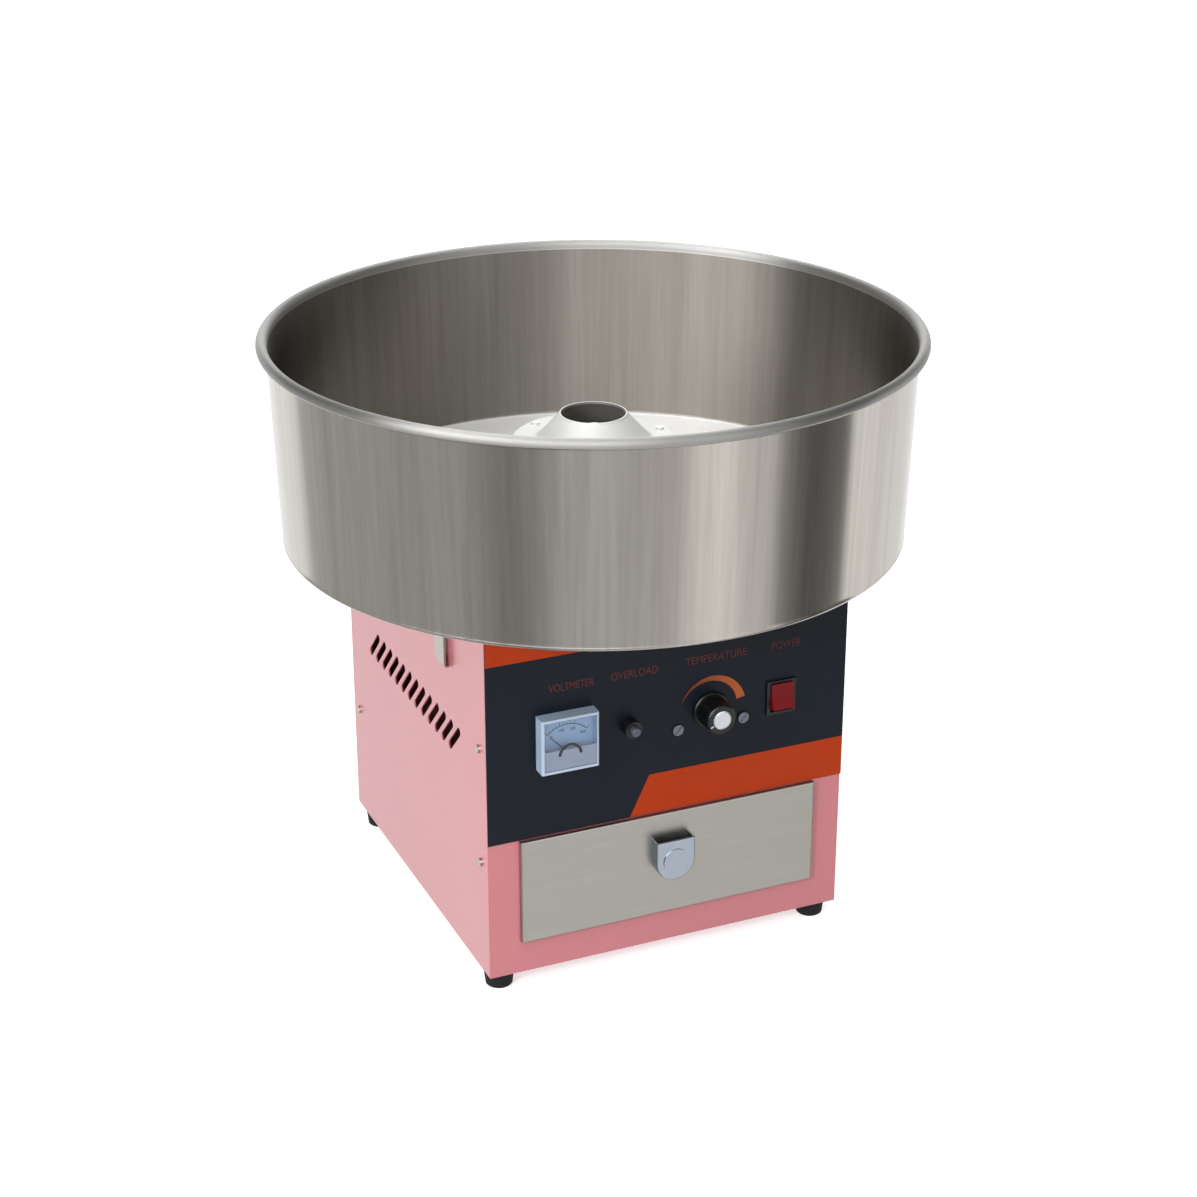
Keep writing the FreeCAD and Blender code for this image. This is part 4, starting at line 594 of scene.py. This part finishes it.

# ---------------------------------------------------------------------------------------------
# Bowl: spun stainless steel, polished round its axis, with a wired rim. Its wall mirrors the room
# in upright bands, because the polishing marks run round it and smear the mirror up and down. Its
# inner wall is drawn darker than its outside, as painted shade.

# The steel's patterns in millimetres: fine lines, broad bands and the marks of the polish, and how
# far each is drawn out along the wall. Then its roughness and how metallic it is, place by place.
LINES, BANDS, POLISH = (4, (1, 1, 300)), (22, (1, 1, 80), 4.0), (5, (1, 1, 200))
OUTER_ROUGHNESS, INNER_EXTRA, SATIN_ROUGHNESS = (0.145, 0.165), 0.22, 0.46
WALL_METAL, FLOOR_METAL, BEAD_METAL = 1.0, 0.4, 0.85
# The satin floor lies inside a radius and looks up; the satin bead starts at a height. The inner
# wall looks inwards. Each range says where a mask starts and where it is full.
INSIDE_RADIUS, BEAD_STARTS = 249, (475, 476)
LOOKS_UP, LOOKS_IN = (0.55, 0.9), (-0.3, -0.7)


def from_shaft(tree):
    """The level vector from the shaft to a place on the surface."""
    place = add(tree, "TexCoord").outputs["Object"]
    return add(tree, "VectorMath", {0: place, 1: (1, 1, 0)}, operation="MULTIPLY").outputs[0]


def shaft_distance(tree):
    """How far a place on the surface lies from the shaft, in metres."""
    return add(tree, "VectorMath", {0: from_shaft(tree)}, operation="LENGTH").outputs["Value"]


def outward_look(tree):
    """How far a surface looks away from the shaft: 1 outwards, 0 up or down, -1 inwards."""
    outward = add(tree, "VectorMath", {0: from_shaft(tree)}, operation="NORMALIZE").outputs[0]
    looks = add(tree, "TexCoord").outputs["Normal"]
    facing = add(tree, "VectorMath", {0: looks, 1: outward}, operation="DOT_PRODUCT")
    return facing.outputs["Value"]


tree, shader = new_material("spun_stainless_steel", Anisotropic=0.93, Anisotropic_Rotation=0.25)
height = add(tree, "SeparateXYZ", {0: add(tree, "TexCoord").outputs["Object"]}).outputs["Z"]
upward = add(tree, "SeparateXYZ", {0: add(tree, "TexCoord").outputs["Normal"]}).outputs["Z"]
under_bead = worked(tree, "LESS_THAN", height, BEAD_STARTS[1] * MM)
inside = worked(tree, "LESS_THAN", shaft_distance(tree), INSIDE_RADIUS * MM)
looks_up = remapped(tree, upward, *LOOKS_UP)
on_floor = worked(tree, "MULTIPLY", looks_up, worked(tree, "MULTIPLY", inside, under_bead))
on_bead = remapped(tree, height, BEAD_STARTS[0] * MM, BEAD_STARTS[1] * MM)
looks_in = remapped(tree, outward_look(tree), *LOOKS_IN)
on_inner_wall = worked(tree, "SUBTRACT", looks_in, on_bead, use_clamp=True)
is_satin = worked(tree, "MAXIMUM", on_floor, on_bead)

lines = mixed(tree, noise(tree, *LINES), hexed("#DEDCD9"), hexed("#FFFFFF"))
bands = mixed(tree, noise(tree, *BANDS), hexed("#B3AEA6"), hexed("#D2CEC8"))
streaks = mixed(tree, 1.0, bands, lines, blend_type="MULTIPLY")
# Painted shade: the inner wall's steel is drawn darker than the outside, so that its reflections
# read as dark as the shaded inside of the bowl.
shade = mixed(tree, on_inner_wall, hexed("#FFFFFF"), hexed("#B8B7B6"))
wall = mixed(tree, 1.0, streaks, shade, blend_type="MULTIPLY")
satin = mixed(tree, noise(tree, 9), hexed("#EFEFEE"), hexed("#F6F6F5"))
rolled = mixed(tree, on_bead, satin, hexed("#A3A2A0"))
tree.links.new(mixed(tree, is_satin, wall, rolled), shader.inputs["Base Color"])

floor_metal = remapped(tree, on_floor, 0, 1, WALL_METAL, FLOOR_METAL)
tree.links.new(mixed(tree, on_bead, floor_metal, grey(BEAD_METAL)), shader.inputs["Metallic"])

outer_grain = remapped(tree, noise(tree, *POLISH), *NOISE_SPAN, *OUTER_ROUGHNESS)
inner_grain = worked(tree, "ADD", outer_grain, INNER_EXTRA)
wall_grain = mixed(tree, on_inner_wall, outer_grain, inner_grain)
grain = mixed(tree, is_satin, wall_grain, grey(SATIN_ROUGHNESS))
tree.links.new(grain, shader.inputs["Roughness"])
around = add(tree, "Tangent", direction_type="RADIAL", axis="Z")
tree.links.new(around.outputs[0], shader.inputs["Tangent"])

# The bowl's cross section in millimetres, as radius and height, turned once about the shaft. The
# angles of a bead are where the sheet enters it and where it ends.
SHEET, LIP = 1.0, 0.5
FLOOR_LOW, FLOOR_TOP, COLLAR_RADIUS, COLLAR_TOP = 326.0, 327.0, 88.0, 335.0
FOOT_Z, FOOT_RADIUS, RIM_Z, RIM_RADIUS = 320.7, 247.0, 478.0, 252.4
FOOT_BEAD, FOOT_BEAD_RADIUS, FOOT_BEAD_START, FOOT_BEAD_STOP = (245.1, FOOT_Z), 2.2, 27, -296
RIM_BEAD, RIM_BEAD_RADIUS, RIM_BEAD_STOP = (255.64, RIM_Z), 4.27, -141
COLLAR_BEND, WALL_BEND = 2.0, 3.0
# Where the straight wall ends, outside and inside, and the corner under the floor.
WALL_TOP_OUT, WALL_TOP_IN, WALL_FOOT_OUT, WALL_FOOT_IN = 474.0, 472.0, 323.5, 324.0
CORNER_Z, CORNER_RADIUS, CORNER_END = 325.6, 245.6, 244.0
# A ring this far past a bend keeps the flat beside it flat.
HOLD = 1.0
BOWL_STEPS = 360


def wall_at(z, inset=0.0):
    """A point of the wall's outer face at a height, or that far inside it."""
    share = (z - FOOT_Z) / (RIM_Z - FOOT_Z)
    return FOOT_RADIUS + (RIM_RADIUS - FOOT_RADIUS) * share - inset, z


def lathed(name, section, steps):
    """A closed cross section turned once about the shaft, with smooth faces."""
    build = bmesh.new()
    rings = []
    for i in range(steps):
        turn = 2 * math.pi * i / steps
        cos, sin = math.cos(turn), math.sin(turn)
        rings.append([build.verts.new((r * MM * cos, r * MM * sin, z * MM)) for r, z in section])
    for i in range(steps):
        ring, following = rings[i], rings[(i + 1) % steps]
        for j in range(len(section)):
            k = (j + 1) % len(section)
            build.faces.new((ring[j], ring[k], following[k], following[j])).smooth = True
    bmesh.ops.recalc_face_normals(build, faces=build.faces)
    mesh = bpy.data.meshes.new(name)
    build.to_mesh(mesh)
    build.free()
    return mesh


collar_bend = COLLAR_RADIUS + SHEET + COLLAR_BEND, FLOOR_TOP + COLLAR_BEND
wall_bend = wall_at(FLOOR_TOP + WALL_BEND, SHEET)[0] - WALL_BEND, FLOOR_TOP + WALL_BEND
section = [
    *arc((COLLAR_RADIUS + LIP, COLLAR_TOP - LIP), LIP, 180, 0, 6),
    (COLLAR_RADIUS + SHEET, collar_bend[1] + HOLD),
    *arc(collar_bend, COLLAR_BEND, 180, 270, 6),
    (collar_bend[0] + HOLD, FLOOR_TOP),
    (wall_bend[0] - HOLD, FLOOR_TOP),
    *arc(wall_bend, WALL_BEND, 270, 360, 8),
    wall_at(wall_bend[1] + 2 * HOLD, SHEET),
    wall_at(WALL_TOP_IN, SHEET),
    *arc(RIM_BEAD, RIM_BEAD_RADIUS, 180, RIM_BEAD_STOP, 40),
    wall_at(WALL_TOP_OUT),
    wall_at(WALL_FOOT_OUT),
    *arc(FOOT_BEAD, FOOT_BEAD_RADIUS, FOOT_BEAD_START, FOOT_BEAD_STOP, 28),
    wall_at(WALL_FOOT_IN, SHEET),
    wall_at(CORNER_Z, SHEET),
    (CORNER_RADIUS, FLOOR_LOW),
    (CORNER_END, FLOOR_LOW),
    (collar_bend[0] + HOLD, FLOOR_LOW),
    *arc(collar_bend, COLLAR_BEND + SHEET, 270, 180, 6),
    (COLLAR_RADIUS, collar_bend[1] + HOLD),
    (COLLAR_RADIUS, COLLAR_TOP - HOLD),
]
bowl_mesh = lathed("spun_bowl", section, BOWL_STEPS)
spun_bowl = link_piece("spun_bowl", bowl_mesh, named("spun_stainless_steel"), "bowl")
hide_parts("bowl")

# ---------------------------------------------------------------------------------------------
# Spinning head: cast and turned aluminium, with a perforated stainless band, nickel plated screws
# and a heater ring whose alloy has gone brown with heat.

# A surface of the head that looks further inwards than this was left as it was cast. It is drawn
# in a grey far darker than cast aluminium: painted shade inside the head.
INNER_SIDE_LOOK = -0.3


def turned_aluminium(name, first, second, roughness, ring, metallic):
    """Cast aluminium faced on a lathe: fine rings about its axis, and inner sides left as cast,
    drawn dark as painted shade.
    """
    tree, shader = new_material(name, Metallic=metallic, Roughness=roughness)
    distance = worked(tree, "MULTIPLY", shaft_distance(tree), 1 / (ring * MM))
    rings = add(tree, "TexNoise", {"W": distance, "Scale": 1.0, "Detail": 2.0},
                noise_dimensions="1D").outputs["Fac"]
    faced = mixed(tree, rings, hexed(first), hexed(second))
    # Painted shade: inner sides get a dark brownish grey that stands for the shadow in the head's
    # bore, much darker than a cast skin.
    cast = mixed(tree, noise(tree, 2), hexed("#6B6967"), hexed("#7C7A77"))
    is_inner_side = worked(tree, "LESS_THAN", outward_look(tree), INNER_SIDE_LOOK)
    tree.links.new(mixed(tree, is_inner_side, faced, cast), shader.inputs["Base Color"])
    vary(tree, rings, shader, "Roughness", roughness - 0.06, roughness + 0.08)
    emboss(tree, rings, shader, 0.02, 0.4)
    return named(name)


dress(turned_aluminium("faced_head_aluminium", "#D6D6D5", "#DEDEDD", 0.55, 0.9, 0.2),
      "head_cover", "head_base")
dress(brushed("perforated_band_steel", "#B4B1AB", "#C4C1BB", 0.3, 0.7, (40, 40, 1)),
      "head_mesh_band")
dress(plated("pale_nickel_plate", "#E6E6E4", "#F0F0EE", 0.5), "head_screws")
dress(die_cast("heat_browned_alloy", "#4A3D35", "#5D4A3C", 0.5), "heater_ring")
